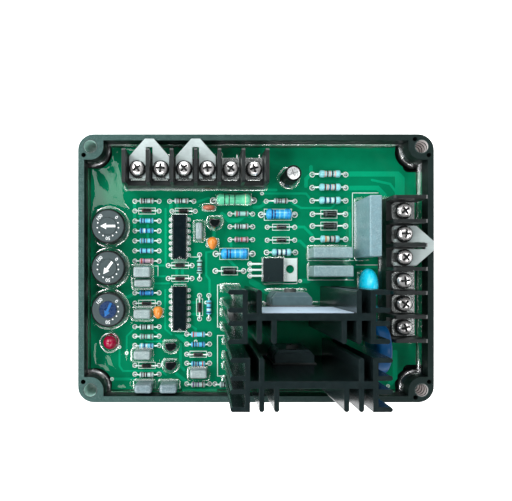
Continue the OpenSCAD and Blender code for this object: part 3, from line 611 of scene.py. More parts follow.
# ------------------------------------------------------------------ axial parts
def axial_leads(acc, p, bl, z, r, mat):
    x, y, rot, pitch = p[:4]
    M = place(x, y, rot)
    for s in (-1, 1):
        xe, b = pitch / 2, 0.7
        pts = [(s * (bl / 2 - 0.4), 0, z), (s * (xe - b), 0, z)]
        for k in range(1, 5):
            a = math.pi / 2 * k / 4
            pts.append((s * (xe - b + b * math.sin(a)), 0, z - b + b * math.cos(a)))
        pts.append((s * xe, 0, BOARD_Z))
        acc.add(*tube(pts, r, 8), mat=mat, col=(0.8, 0.8, 0.8), M=M)


def bone_r(t, l, d, waist):
    s = abs(t) / (l / 2)
    if s > 0.8:
        return d / 2 * math.sqrt(max(0.0, 1 - 0.86 * ((s - 0.8) / 0.2) ** 2))
    if s > 0.62:
        return d / 2
    if s > 0.42:
        k = (s - 0.42) / 0.2
        k = k * k * (3 - 2 * k)
        return waist / 2 + (d - waist) / 2 * k
    return waist / 2


def banded(acc, p, l, d, waist, z, body, bands, places, width, mat, seg=24):
    """A resistor body with colour bands at the given places along it, -1 to 1."""
    stops = set(round(-l / 2 + l * k / 28, 4) for k in range(29))
    zones = []
    for c, q in zip(bands, places):
        a, b = q * l / 2 - width / 2, q * l / 2 + width / 2
        zones.append((a, b, c))
        stops |= {round(a, 4), round(b, 4)}
    stops = sorted(stops)
    v, f, step = revolve([(bone_r(t, l, d, waist), t) for t in stops], seg)
    cols = []
    for k in step:
        mid = (stops[k] + stops[k + 1]) / 2
        c = body
        for a, b, zc in zones:
            if a <= mid <= b:
                c = zc
        cols.append(c)
    acc.add(v, f, mat, cols, place(p[0], p[1], p[2]) @ along_x(z))


acc = Acc()
for p in RES_SMALL:
    z = BOARD_TOP + 1.4
    banded(acc, p, 6.2, 2.4, 2.0, z, p[4], p[5], (-0.66, -0.3, 0.02, 0.62), 0.62, 0)
    axial_leads(acc, p, 6.2, z, 0.3, 1)
acc.obj("resistors_small_v", [M_LACQUER, M_TIN], nodes=("resistors_small",))

acc = Acc()
for p in RES_MEDIUM:
    z = BOARD_TOP + 1.8
    l = 9.4 if p[1] > 28 else 8.4
    banded(acc, p, l, 3.1, 2.6, z, p[4], p[5], (-0.46, -0.24, -0.02, 0.2, 0.44), 0.74, 0)
    axial_leads(acc, p, l, z, 0.35, 1)
acc.obj("resistors_medium_v", [M_LACQUER, M_TIN], nodes=("resistors_medium",))

acc = Acc()
z = BOARD_TOP + 2.8
banded(acc, RES_GREEN, 14.6, 5.2, 4.6, z, lin(92, 206, 158), (BLACK, BLACK, BLACK, lin(226, 226, 190)), (-0.54, -0.28, 0.05, 0.66), 0.42, 0, 32)
axial_leads(acc, RES_GREEN, 14.6, z, 0.4, 1)
acc.obj("resistor_green_v", [M_LACQUER, M_TIN], nodes=("resistor_green",))

acc = Acc()
for p in RES_BLUE:
    z = BOARD_TOP + 2.5
    # painted highlight: the two pale cyan bands are the glare across the middle of each blue body
    banded(acc, p, p[4], 4.6, 4.0, z, lin(34, 164, 228), (NAVY, NAVY, lin(120, 206, 232), lin(112, 202, 232), DEEP), (-0.54, -0.32, 0.04, 0.4, 0.66), 0.6, 0, 32)
    axial_leads(acc, p, p[4], z, 0.4, 1)
acc.obj("resistors_blue_v", [M_LACQUER, M_TIN], nodes=("resistors_blue",))


def barrel(acc, p, l, d, z, zones, mat, seg=20, edge=0.4):
    """A round body in coloured zones: [(from, to, colour)] along -1 to 1."""
    stops = set()
    for k in range(7):
        a = math.pi / 2 * k / 6
        stops.add(round(l / 2 - edge + edge * math.sin(a), 4))
        stops.add(round(-l / 2 + edge - edge * math.sin(a), 4))
    for a, b, c in zones:
        stops |= {round(a * l / 2, 4), round(b * l / 2, 4)}
    stops = sorted(s for s in stops if abs(s) <= l / 2)

    def rad(t):
        e = abs(t) - (l / 2 - edge)
        return d / 2 if e <= 0 else d / 2 - edge + edge * math.sqrt(max(0.0, 1 - (e / edge) ** 2))
    v, f, step = revolve([(max(rad(t), 0.05), t) for t in stops], seg)
    cols = []
    for k in step:
        mid = (stops[k] + stops[k + 1]) / 2 / (l / 2)
        cols.append(next((c for a, b, c in zones if a <= mid <= b), zones[0][2]))
    acc.add(v, f, mat, cols, place(p[0], p[1], p[2]) @ along_x(z))


acc = Acc()
AMBER, RUST, INK = lin(112, 80, 74), lin(32, 22, 22), lin(12, 14, 15)
for i, p in enumerate(DIO_GLASS):
    z = BOARD_TOP + 1.2
    barrel(acc, p, 4.2, 1.9, z, [(-1, -0.82, AMBER), (-0.82, -0.1, RUST), (-0.1, 0.86, INK), (0.86, 1, AMBER)], 0)
    axial_leads(acc, p, 4.2, z, 0.3, 1)
acc.obj("diodes_glass_v", [M_GLASSY, M_TIN], nodes=("diodes_glass",))

acc = Acc()
BAND = lin(66, 72, 72)
for p in DIO_BLACK:
    z = BOARD_TOP + 1.6
    s = p[4]
    zones = [(-1, 1, INK)] if s == 0 else ([(-1, 0.5, INK), (0.5, 0.78, BAND), (0.78, 1, INK)] if s > 0 else [(-1, -0.78, INK), (-0.78, -0.5, BAND), (-0.5, 1, INK)])
    barrel(acc, p, 5.6, 2.8, z, zones, 0, 24, 0.25)
    axial_leads(acc, p, 5.6, z, 0.35, 1)
acc.obj("diodes_black_v", [M_LACQUER, M_TIN], nodes=("diodes_black",))


# ------------------------------------------------------------------ boxes, drops, discs, can
def pins_at(acc, pts, z, r, mat):
    for x, y in pts:
        acc.add(*tube([(x, y, z), (x, y, BOARD_Z)], r, 8), mat=mat, col=(0.8, 0.8, 0.8))


def box_pins(b):
    return [(b[0] - b[2] * 0.35, b[1]), (b[0] + b[2] * 0.35, b[1])] if b[2] > b[3] else [(b[0], b[1] - b[3] * 0.35), (b[0], b[1] + b[3] * 0.35)]


def box_cap(acc, b, col, r=0.4):
    x, y, l, w, top = b
    acc.add_bm(rbox(x - l / 2, x + l / 2, y - w / 2, y + w / 2, BOARD_TOP + 0.4, top, r, 5), 0, col)
    pins_at(acc, box_pins(b), BOARD_TOP + 0.6, 0.35, 1)


acc = Acc()
for b in CAP_BOX:
    box_cap(acc, b, lin(146, 164, 164), 0.9)
acc.obj("capacitors_box_v", [M_BOX, M_TIN], nodes=("capacitors_box",))
acc = Acc()
for b in CAP_EDGE:
    box_cap(acc, b, lin(102, 126, 133), 1.0)
acc.obj("capacitors_edge_v", [M_BOX, M_TIN], nodes=("capacitors_edge",))
acc = Acc()
box_cap(acc, CAP_TALL, lin(112, 148, 157), 0.6)
acc.obj("capacitor_film_tall_v", [M_BOX, M_TIN], nodes=("capacitor_film_tall",))
acc = Acc()
for b in CAP_LONG:
    box_cap(acc, b, lin(136, 166, 170), 0.55)
acc.obj("capacitors_film_long_v", [M_BOX, M_TIN], nodes=("capacitors_film_long",))


def lens(acc, M, d, t, col, mat, power=2.6, seg=36):
    """A dipped body: a fat disc with a full round rim, turned about its own axis."""
    prof = []
    n = 14
    for k in range(n + 1):
        a = -math.pi / 2 + math.pi * k / n
        h = math.copysign(abs(math.sin(a)) ** (2 / power), math.sin(a)) * t / 2
        r = abs(math.cos(a)) ** (2 / (power + 0.4)) * d / 2
        prof.append((max(r, 0.02), h))
    v, f, step = revolve(prof, seg)
    acc.add(v, f, mat, col, M)


def drop_pins(p):
    return [(p[0] - 1.3, p[1]), (p[0] + 1.3, p[1])]


acc = Acc()
for x, y in CAP_ORANGE:
    prof = []
    for k in range(17):
        a = math.pi * k / 16
        h = -2.65 * math.cos(a)
        prof.append((max(0.02, 2.12 * math.sin(a) * (1 - 0.09 * h)), h))
    v, f, step = revolve(prof, 32)
    acc.add(v, f, 0, lin(226, 134, 40), Matrix.Translation((x, y, BOARD_TOP + 3.9)) @ Matrix.Rotation(math.pi / 2, 4, "X"))
    pins_at(acc, drop_pins((x, y)), BOARD_TOP + 2.9, 0.35, 1)
acc.obj("capacitors_orange_v", [M_DIP, M_TIN], nodes=("capacitors_orange",))
acc = Acc()
lens(acc, Matrix.Translation((*CAP_RED, BOARD_TOP + 4)) @ Matrix.Rotation(math.pi / 2, 4, "X"), 5.2, 2.4, lin(182, 100, 72), 0, 2.2)
pins_at(acc, drop_pins(CAP_RED), BOARD_TOP + 2.9, 0.35, 1)
acc.obj("capacitor_red_v", [M_DIP, M_TIN], nodes=("capacitor_red",))
acc = Acc()
lens(acc, Matrix.Translation((*DISC_LIGHT, BOARD_TOP + 9)) @ Matrix.Rotation(math.pi / 2, 4, "Y"), 14, 6.9, lin(14, 204, 236), 0, 2.0)
pins_at(acc, [(DISC_LIGHT[0], DISC_LIGHT[1] + s * 3.75) for s in (-1, 1)], BOARD_TOP + 4, 0.45, 1)
acc.obj("varistor_light_v", [M_DIP, M_TIN], nodes=("varistor_light",))
acc = Acc()
lens(acc, Matrix.Translation((*DISC_DARK, BOARD_TOP + 12.4)) @ Matrix.Rotation(math.pi / 2, 4, "Y"), 20.4, 6.3, lin(0, 66, 112), 0, 5.0)
pins_at(acc, [(DISC_DARK[0], DISC_DARK[1] + s * 5) for s in (-1, 1)], BOARD_TOP + 5, 0.45, 1)
acc.obj("varistor_dark_v", [M_DIP_DARK, M_TIN], nodes=("varistor_dark",))

acc = Acc()
Mc = Matrix.Translation((*CAN, BOARD_TOP + 0.5))
prof = [(0.05, 0), (2.9, 0), (3.15, 0.12), (3.25, 0.35), (3.25, 1.3), (3.12, 1.6), (3.0, 1.9), (3.0, 2.1), (3.12, 2.4), (3.25, 2.7),
        (3.25, 15.4), (3.2, 15.75), (3.05, 15.95), (2.8, 16.0), (2.55, 15.92), (2.5, 15.8)]
v, f, step = revolve(prof, 40, cap=False)
acc.add(v, f, 0, lin(12, 15, 17), Mc)
v, f, step = revolve([(2.5, 15.8), (2.3, 15.72), (0.05, 15.72)], 40, cap=False)
acc.add(v, f, 2, (0.8, 0.8, 0.8), Mc)
# the vent scores on the can's top are painted near-black as their shade
for a in (20, 110):
    acc.add_bm(rbox(-1.9, 1.9, -0.09, 0.09, 15.6, 15.76, 0.03, 1), 3, (0.1, 0.1, 0.1), Mc @ Matrix.Rotation(math.radians(a), 4, "Z"))
pins_at(acc, drop_pins(CAN), BOARD_TOP + 0.8, 0.35, 1)
acc.obj("capacitor_can_v", [M_SLEEVE, M_TIN, M_ALU, M_RECESS_SHADE], nodes=("capacitor_can",))

# ------------------------------------------------------------------ small transistors, lamp
acc = Acc()
for x, y in SMALL_TR:
    pts = []
    for k in range(25):
        a = math.radians(180 + 0 + k * 7.5)
        pts.append((2.4 * math.cos(a), 2.4 * math.sin(a)))
    pts = [(px, py) for px, py in pts] + [(2.08, 1.2), (-2.08, 1.2)]
    acc.add_bm(prism([(x + a, y + b) for a, b in pts], BOARD_TOP + 1.6, BOARD_TOP + 6.2, 0.35, 3), 0)
    for i in (-1, 0, 1):
        acc.add(*tube([(x + i * 1.27, y, BOARD_TOP + 1.8), (x + i * 1.27, y, BOARD_Z)], 0.3, 8), mat=1)
acc.obj("transistors_small_v", [M_GLOSS, M_TIN], nodes=("transistors_small",))

acc = Acc()
prof = [(0.05, 0), (3.2, 0), (3.3, 0.12), (3.3, 0.85), (3.2, 1.0), (2.95, 1.02), (2.9, 1.1), (2.9, 4.0)]
prof += [(2.9 * math.cos(a), 4.0 + 2.9 * math.sin(a)) for a in [math.pi / 2 * k / 9 for k in range(1, 9)]] + [(0.05, 6.9)]
v, f, step = revolve(prof, 40)
acc.add(v, f, 0, (0.8, 0.1, 0.1), Matrix.Translation((*LAMP, BOARD_TOP + 0.6)))
pins_at(acc, drop_pins(LAMP), BOARD_TOP + 0.8, 0.35, 1)
acc.obj("indicator_lamp_v", [M_LAMP, M_TIN], nodes=("indicator_lamp",))

# ------------------------------------------------------------------ pieces with their node's own shape
copied("case", "case_v", [M_CASE], 0.25, 3)
acc = Acc()
# sleeves flush with the tray, their bores cut with a thread; on the right bushes the thread grooves are painted dark as
# their shade, and the left bores take a pale matte copy of the bush metal as painted light
for sx in (-1, 1):
    for sy in (-1, 1):
        M = Matrix.Translation((sx * 68, sy * 50, 0))
        v, f, step = revolve([(2.55, 0), (2.84, 0), (2.9, 0.06), (2.9, 22.94), (2.84, 23), (2.6, 23)], 36, cap=False)
        acc.add(v, f, 1, M=M)
        prof, dark = [(2.6, 23.0)], [0]
        for k in range(9):
            z = 22.6 - 2.4 * k
            prof += [(2.5, z), (2.5, z - 1.2), (2.58, z - 1.3), (2.58, z - 2.3)]
            dark += [0, sx > 0, sx > 0, 0]
        v, f, step = revolve(prof + [(2.55, 0)], 36, cap=False)
        v = [(x, y, z + 0.3 * (x - y) if 1.8 < z < 22 else z) for x, y, z in v]
        bore = 0 if sx > 0 else 2
        acc.add(v, f, [3 if dark[i] else bore for i in step], M=M)
acc.obj("mounting_bushes_v", [M_BUSH, M_BUSH_RIM, M_BUSH_LIT_LEFT, M_RECESS_SHADE], nodes=("mounting_bushes",), angle=25)


def recess(side):
    """Which faces of a strip's screws lie in the cross recess."""
    s, linked = (STRIP_TOP, LINKED_TOP) if side == "top" else (STRIP_RIGHT, LINKED_RIGHT)
    heads = [(*turned(s, way_u(i), 0), 24.1 + (LINK_T if i in linked else 0)) for i in range(6)]

    def pick(c, n):
        x, y, z = min(heads, key=lambda h: math.hypot(c.x - h[0], c.y - h[1]))
        r = math.hypot(c.x - x, c.y - y)
        return 1 if r < 1.95 and c.z > z + 0.9 and (abs(n.z) < 0.35 or c.z < z + 1.1) else 0
    return pick


for side in ("top", "right"):
    copied("terminal_block_" + side, "terminal_block_%s_v" % side, [M_TERM], 0.2, 2)
    copied("terminal_contacts_" + side, "terminal_contacts_%s_v" % side, [M_CONTACT], 0.12, 2)
    copied("terminal_washers_" + side, "terminal_washers_%s_v" % side, [M_WASHER_SHADE], 0.12, 2)
    # the faces of each screw's cross recess are painted near-black as its shade
    copied("terminal_screws_" + side, "terminal_screws_%s_v" % side, [M_STEEL, M_RECESS_SHADE], 0.07, 2, pick=recess(side))
for where in ("left", "middle", "right"):
    copied("link_plate_" + where, "link_plate_%s_v" % where, [M_LINK], 0.15, 2)
copied("chip_upper", "chip_upper_v", [M_CHIP], 0.45, 3)
copied("chip_lower", "chip_lower_v", [M_CHIP], 0.45, 3)
copied("chip_pins", "chip_pins_v", [M_TIN], 0.06, 1)
copied("tab_regulator_body", "tab_regulator_body_v", [M_EPOXY], 0.25, 2)
copied("tab_regulator_metal", "tab_regulator_metal_v", [M_TAB], 0.12, 2)


def pale_strip(acc):
    x, y = SINKS[0]
    acc.add_bm(rbox(x - 15.2, x + 15.2, y + 1.19, y + 1.34, 36.0, 65.4, 0.05, 2), 1)


copied("heatsink_rear", "heatsink_rear_v", [M_SINK, M_LABEL], 0.18, 2, extra=pale_strip)
copied("heatsink_front", "heatsink_front_v", [M_SINK], 0.18, 2)
copied("heatsink_pins", "heatsink_pins_v", [M_TIN], 0.2, 2)
copied("power_device_rear", "power_device_rear_v", [M_DEVICE], 0.3, 3)
copied("power_device_front", "power_device_front_v", [M_DEVICE], 0.3, 3)
copied("power_device_leads", "power_device_leads_v", [M_TIN], 0.1, 1)
copied("insulating_pads", "insulating_pads_v", [M_PAD_SHEET], 0.1, 2)
copied("device_screws", "device_screws_v", [M_ZINC], 0.2, 2)
for i in (1, 2, 3):
    copied("trimmer_%d_body" % i, "trimmer_%d_body_v" % i, [M_TRIM], 0.15, 2)


# ------------------------------------------------------------------ trimmer dials and discs
def words(text, size):
    """Flat outline faces of generic dial figures, as verts and faces about the origin."""
    cu = bpy.data.curves.new("figure", "FONT")
    cu.body = text
    cu.size = size
    cu.align_x = "CENTER"
    cu.align_y = "CENTER"
    cu.extrude = 0.02
    cu.offset = 0.006
    cu.resolution_u = 3
    ob = bpy.data.objects.new("figure", cu)
    me = bpy.data.meshes.new_from_object(ob)
    v = [tuple(q.co) for q in me.vertices]
    f = [list(p.vertices) for p in me.polygons]
    bpy.data.objects.remove(ob)
    bpy.data.curves.remove(cu)
    bpy.data.meshes.remove(me)
    return v, f


TZ = 20.6


def dials_extra(acc):
    for x, y, a0 in TRIMS:
        for k in range(11):
            a = math.radians(45 - 27 * k)
            if k in (0, 5, 10) or (a0 == TRIMS[2][2] and k > 5):
                continue
            M = Matrix.Translation((x, y, TZ + 0.4)) @ Matrix.Rotation(a, 4, "Z")
            v, f, s = revolve([(0.3, -0.05), (0.3, 0.04), (0.24, 0.05)], 12)
            acc.add(v, f, 1, (1, 1, 1), M @ Matrix.Translation((4.4, 0, 0)))
        for text, a in (("0", 45), ("50", -90), ("100", 135)):
            v, f = words(text, 2.0)
            acc.add(v, f, 1, (1, 1, 1), Matrix.Translation((x, y, TZ + 0.42)) @ Matrix.Rotation(math.radians(a), 4, "Z")
                    @ Matrix.Translation((5.0, 0, 0)) @ Matrix.Rotation(math.radians(-90), 4, "Z"))


copied("trimmer_dials", "trimmer_dials_v", [M_DIAL, M_WHITE_INK], 0.1, 2, extra=dials_extra)


def rotor_extra(i):
    x, y, a = TRIMS[i]

    def put(acc):
        M = Matrix.Translation((x, y, 0)) @ Matrix.Rotation(math.radians(a), 4, "Z")
        z = TZ + 0.6
        ink = 2 if i == 2 else 1
        # the arrow lies in its cut and stands a little above the disc
        acc.add_bm(prism([(-3.1, -0.5), (0.7, -0.5), (0.7, -1.3), (3.15, 0.0), (0.7, 1.3), (0.7, 0.5), (-3.1, 0.5)], z - 0.42, z + 0.03, 0.06, 2), ink, (1, 1, 1), M)
    return put


for i in range(3):
    face = M_NAVY if i == 2 else M_DIAL
    copied("trimmer_%d_rotor" % (i + 1), "trimmer_%d_rotor_v" % (i + 1), [face, M_WHITE_INK, M_BLUE_INK], 0.12, 2,
           body="trimmer_%d_disc" % (i + 1), extra=rotor_extra(i))

# ------------------------------------------------------------------ board with traces, pads and outlines
acc = Acc()


def board_outline():
    """The board's outline: a rectangle cut round the bosses, with deeper notches beside the right ones."""
    hx, hy, cx, cy, r = 70.2, 52.2, 68.0, 50.0, 7.0

    def arc(x, y, q, a0, a1, n):
        return [(x + q * math.cos(a0 + (a1 - a0) * k / n), y + q * math.sin(a0 + (a1 - a0) * k / n)) for k in range(n + 1)]
    a0 = math.atan2(hy - cy, -math.sqrt(r * r - (hy - cy) ** 2))
    a1 = math.atan2(-math.sqrt(r * r - (hx - cx) ** 2), hx - cx) + 2 * math.pi
    left = arc(cx, cy, r, a0, a1, 16)
    right = arc(cx, cy, r, a0, math.radians(239), 12) + arc(67, 44, 2.5, math.radians(186), math.radians(270), 8) + [(hx, 41.5)]
    return right + [(x, -y) for x, y in reversed(right)] + [(-x, -y) for x, y in left] + [(-x, y) for x, y in reversed(left)]


acc.add_bm(prism(board_outline(), BOARD_Z, BOARD_TOP), 0)


def strip(acc, pts, w, z0, z1, mat):
    """A flat line of width w along points in mm: one ribbon with mitred bends and round ends."""
    pts = [q for i, q in enumerate(pts) if i == 0 or math.hypot(q[0] - pts[i - 1][0], q[1] - pts[i - 1][1]) > 1e-6]
    loop = len(pts) > 3 and math.hypot(pts[0][0] - pts[-1][0], pts[0][1] - pts[-1][1]) < 1e-6
    if loop:
        pts = pts[:-1]
    n, r = len(pts), w / 2
    rows = []
    for i, (x, y) in enumerate(pts):
        ways = []
        if loop or i > 0:
            ways.append((x - pts[i - 1][0], y - pts[i - 1][1]))
        if loop or i < n - 1:
            ways.append((pts[(i + 1) % n][0] - x, pts[(i + 1) % n][1] - y))
        ways = [(dx / math.hypot(dx, dy), dy / math.hypot(dx, dy)) for dx, dy in ways]
        tx, ty = sum(d[0] for d in ways), sum(d[1] for d in ways)
        tx, ty = tx / math.hypot(tx, ty), ty / math.hypot(tx, ty)
        k = r / max(0.5, tx * ways[0][0] + ty * ways[0][1])
        ends = [(0, 1)]
        if not loop and i == 0:
            ends = [(-1, 0.05), (-0.87, 0.5), (-0.5, 0.87), (0, 1)]
        elif not loop and i == n - 1:
            ends = [(0, 1), (0.5, 0.87), (0.87, 0.5), (1, 0.05)]
        rows += [(x + tx * r * e, y + ty * r * e, -ty * k * h, tx * k * h) for e, h in ends]
    v, f = [], []
    for x, y, ox, oy in rows:
        v += [(x + ox, y + oy, z0), (x + ox, y + oy, z1), (x - ox, y - oy, z1), (x - ox, y - oy, z0)]
    m = len(rows)
    for i in range(m if loop else m - 1):
        a, b = 4 * i, 4 * ((i + 1) % m)
        f += [(a + k, a + (k + 1) % 4, b + (k + 1) % 4, b + k) for k in range(4)]
    if not loop:
        f += [(3, 2, 1, 0), (4 * m - 4, 4 * m - 3, 4 * m - 2, 4 * m - 1)]
    acc.add(v, f, mat)


lines = [0]


def trace(points, w):
    lines[0] += 1
    strip(acc, [P(u, v) for u, v in points], w, BOARD_TOP - 0.02, BOARD_TOP + 0.03 + 0.006 * (lines[0] % 7), 1)


for pts, w in (
        # left column
        ([(134.6, 202), (134.6, 229)], 1.4),
        ([(147.7, 225), (147.7, 239)], 1.0),
        ([(139.5, 217), (143.5, 212)], 1.0),
        ([(165.6, 209), (165.6, 265.5), (153, 265.5), (151.5, 268)], 0.9),
        ([(193.2, 224), (193.2, 235.5), (189, 240)], 0.7),
        ([(214, 251), (206.2, 252.5), (206.2, 275.2), (209.6, 280), (209.6, 297)], 0.9),
        ([(176.7, 257), (176.7, 284)], 1.2),
        ([(182.5, 257), (182.5, 284)], 1.2),
        ([(151, 276.3), (166, 276.3)], 0.8),
        ([(154, 283.4), (169, 283.4)], 0.8),
        ([(170.9, 202), (170.9, 209)], 1.5),
        ([(177.2, 202), (177.2, 209)], 1.0),
        ([(195, 202.5), (209, 198)], 1.0),
        ([(122, 298), (128, 297), (135, 293)], 1.4),
        ([(165.2, 290), (165.2, 329), (171.5, 334.5)], 0.8),
        ([(143.6, 338), (146.2, 341.5), (163, 341.5)], 0.7),
        ([(126.7, 353), (126.7, 336.2), (133.6, 329.4)], 0.7),
        ([(119.5, 347), (119.5, 366), (123, 371), (162, 371), (166, 375)], 0.8),
        ([(175.7, 335.2), (185.2, 335.2)], 0.7),
        ([(191.5, 302.5), (206.2, 302.5)], 1.1),
        ([(191.5, 314), (197.8, 314)], 1.1),
        ([(178.8, 336), (186, 342)], 1.8),
        ([(189.4, 324.6), (195.7, 329), (195.7, 341.5)], 1.0),
        ([(176.7, 374), (189.4, 384)], 1.4),
        ([(183, 390), (216, 390)], 1.0),
        ([(180.5, 344), (180.5, 366), (184, 370)], 1.2),
        ([(154, 331), (160, 336), (160, 345)], 0.7),
        ([(112, 379), (134, 379)], 1.2),
        # middle
        ([(254, 207), (259.6, 207), (267.4, 202.5)], 1.3),
        ([(222, 214), (229, 220.5), (238, 220.5), (244, 216), (252, 216)], 1.8),
        ([(263, 202.5), (291, 202.5), (301, 208), (331.2, 208), (337, 202)], 0.9),
        ([(226, 257), (239.5, 270.6)], 1.2),
        ([(251.8, 281.7), (268, 292)], 2.6),
        ([(214, 226), (214, 236)], 1.4),
        ([(262, 193.5), (306, 193.5), (311.2, 199.8)], 0.9),
        ([(258, 190), (276, 190)], 1.2),
        ([(231, 240), (231, 246)], 1.2),
        ([(296, 227), (304, 227), (312, 235)], 1.2),
        ([(296, 241), (300, 241), (306, 247)], 1.2),
        ([(222, 287), (232, 287)], 1.4),
        # right
        ([(311, 167), (311, 174), (306, 179), (306, 186)], 1.6),
        ([(349.7, 174), (397.6, 174), (402, 178.6), (402, 196)], 2.2),
        ([(348.4, 188), (377.6, 188), (384.3, 195)], 2.0),
        ([(372, 180), (390, 184), (396, 192), (396, 198)], 1.0),
        ([(347, 213.5), (350, 213.5), (350, 240)], 1.0),
        ([(347, 226), (350, 226)], 1.0),
        ([(353.7, 267), (376, 267), (379, 270), (379, 292)], 1.2),
        ([(300, 281), (308, 281)], 2.0),
        ([(395, 352), (395, 378), (388, 386)], 2.0),
        ([(399, 177), (399, 203)], 3.4),
        ([(380, 300), (386, 306), (386, 322)], 1.6)):
    trace(pts, w)


def solder(x, y, r, lead, mat=2):
    """A tinned ring round the hollow of a joint, whose dip is painted dark green as its shade, and the fillet that
    climbs the lead.
    """
    M = Matrix.Translation((x, y, BOARD_TOP))
    inner = max(lead + 0.15, r * 0.66)
    v, f, k = revolve([(r, -0.02), (r, 0.08), (r * 0.95, 0.13), (inner + 0.06, 0.14), (inner, 0.1)], 24, cap=False)
    acc.add(v, f, mat, M=M)
    # the dip inside the ring is painted dark green as its shade
    v, f, k = revolve([(inner, 0.1), (inner - 0.04, 0.02), (lead + 0.08, 0.05)], 24, cap=False)
    acc.add(v, f, 4, M=M)
    v, f, k = revolve([(lead + 0.08, 0.05), (lead + 0.03, 0.4), (lead + 0.01, 0.8)], 24, cap=False)
    acc.add(v, f, mat, M=M)


for group, lead, r in ((RES_SMALL, 0.3, 1.05), (DIO_GLASS, 0.3, 1.05), (RES_MEDIUM, 0.35, 1.2), (DIO_BLACK, 0.35, 1.2), ([RES_GREEN], 0.4, 1.4), (RES_BLUE, 0.4, 1.35)):
    for p in group:
        a = math.radians(p[2])
        for s in (-1, 1):
            solder(p[0] + s * p[3] / 2 * math.cos(a), p[1] + s * p[3] / 2 * math.sin(a), r, lead)
for x, y in SMALL_TR:
    for i in (-1, 0, 1):
        solder(x + i * 1.27, y, 0.6, 0.3)
for c in CHIPS:
    for s in (-1, 1):
        for i in range(-3, 4):
            solder(c[0] + s * 3.9, c[1] + i * 2.54, 0.85, 0.3)
for i in (-1, 0, 1):
    solder(TAB_REG[0] - 9.6, TAB_REG[1] + i * 2.54, 1.1, 0.45)
for p in drop_pins(CAP_ORANGE[0]) + drop_pins(CAP_ORANGE[1]) + drop_pins(CAP_RED):
    solder(p[0], p[1], 0.9, 0.35)


def ink(pts, w):
    lines[0] += 1
    strip(acc, pts, w, BOARD_TOP - 0.02, BOARD_TOP + 0.08 + 0.005 * (lines[0] % 7), 3)


def silk(points, w=0.22, closed=False):
    pts = [P(u, v) for u, v in points]
    if closed:
        pts = pts + pts[:1]
    ink(pts, w)


def silk_box(p, l, w):
    """An outline round an axial part, with the short lines to its pads."""
    a = math.radians(p[2])

    def q(u, v):
        return (p[0] + u * math.cos(a) - v * math.sin(a), p[1] + u * math.sin(a) + v * math.cos(a))
    ink([q(-l / 2, -w / 2), q(l / 2, -w / 2), q(l / 2, w / 2), q(-l / 2, w / 2), q(-l / 2, -w / 2)], 0.24)
    for s in (-1, 1):
        ink([q(s * l / 2, 0), q(s * (p[3] / 2 - 1.1), 0)], 0.24)


for p in DIO_GLASS:
    silk_box(p, 7.2, 2.6)
for p in DIO_BLACK:
    silk_box(p, 7.0, 3.4)
for p in RES_BLUE:
    silk_box(p, p[4] + 0.8, 4.8)
silk([(217.5, 285), (217.5, 327), (224, 327)], 0.3)
silk([(217.5, 285), (224, 285)], 0.3)
silk([(217.5, 335.5), (217.5, 376), (224, 376)], 0.3)
silk([(217.5, 335.5), (224, 335.5)], 0.3)
for pts in ([(352.4, 193), (352.4, 257)], [(352.4, 193), (378, 193)], [(307.9, 248), (307.9, 260.5), (353.7, 260.5)],
            [(307.9, 266.5), (307.9, 280), (353.7, 280)], [(264, 284), (297, 283.5), (297, 258)], [(190.2, 257), (198.5, 257)],
            [(125, 204), (129, 208.5)], [(356, 265), (379, 265)], [(155, 266), (158, 266), (158, 276)]):
    silk(pts, 0.25)
for c in CHIPS:
    ink([(c[0] - 2.6, c[1] - 10.2), (c[0] + 2.6, c[1] - 10.2)], 0.24)
    ink([(c[0] - 2.6, c[1] + 10.2), (c[0] + 2.6, c[1] + 10.2)], 0.24)
# small plated through holes, with their tinned rings
for u, v in ((126.7, 353), (119.5, 347), (262, 193.5), (189, 240), (206.2, 302.5), (222, 287), (300, 281), (388, 386), (195.7, 341.5), (386, 322), (112, 379)):
    x, y = P(u, v)
    vv, ff, ss = revolve([(0.8, -0.02), (0.8, 0.09), (0.65, 0.12), (0.36, 0.11), (0.3, -0.02)], 16, cap=False)
    acc.add(vv, ff, 2, M=Matrix.Translation((x, y, BOARD_TOP)))
acc.obj("circuit_board_v", [M_MASK, M_TRACE, M_SOLDER, M_SILK, M_JOINT_SHADE], nodes=("circuit_board",))


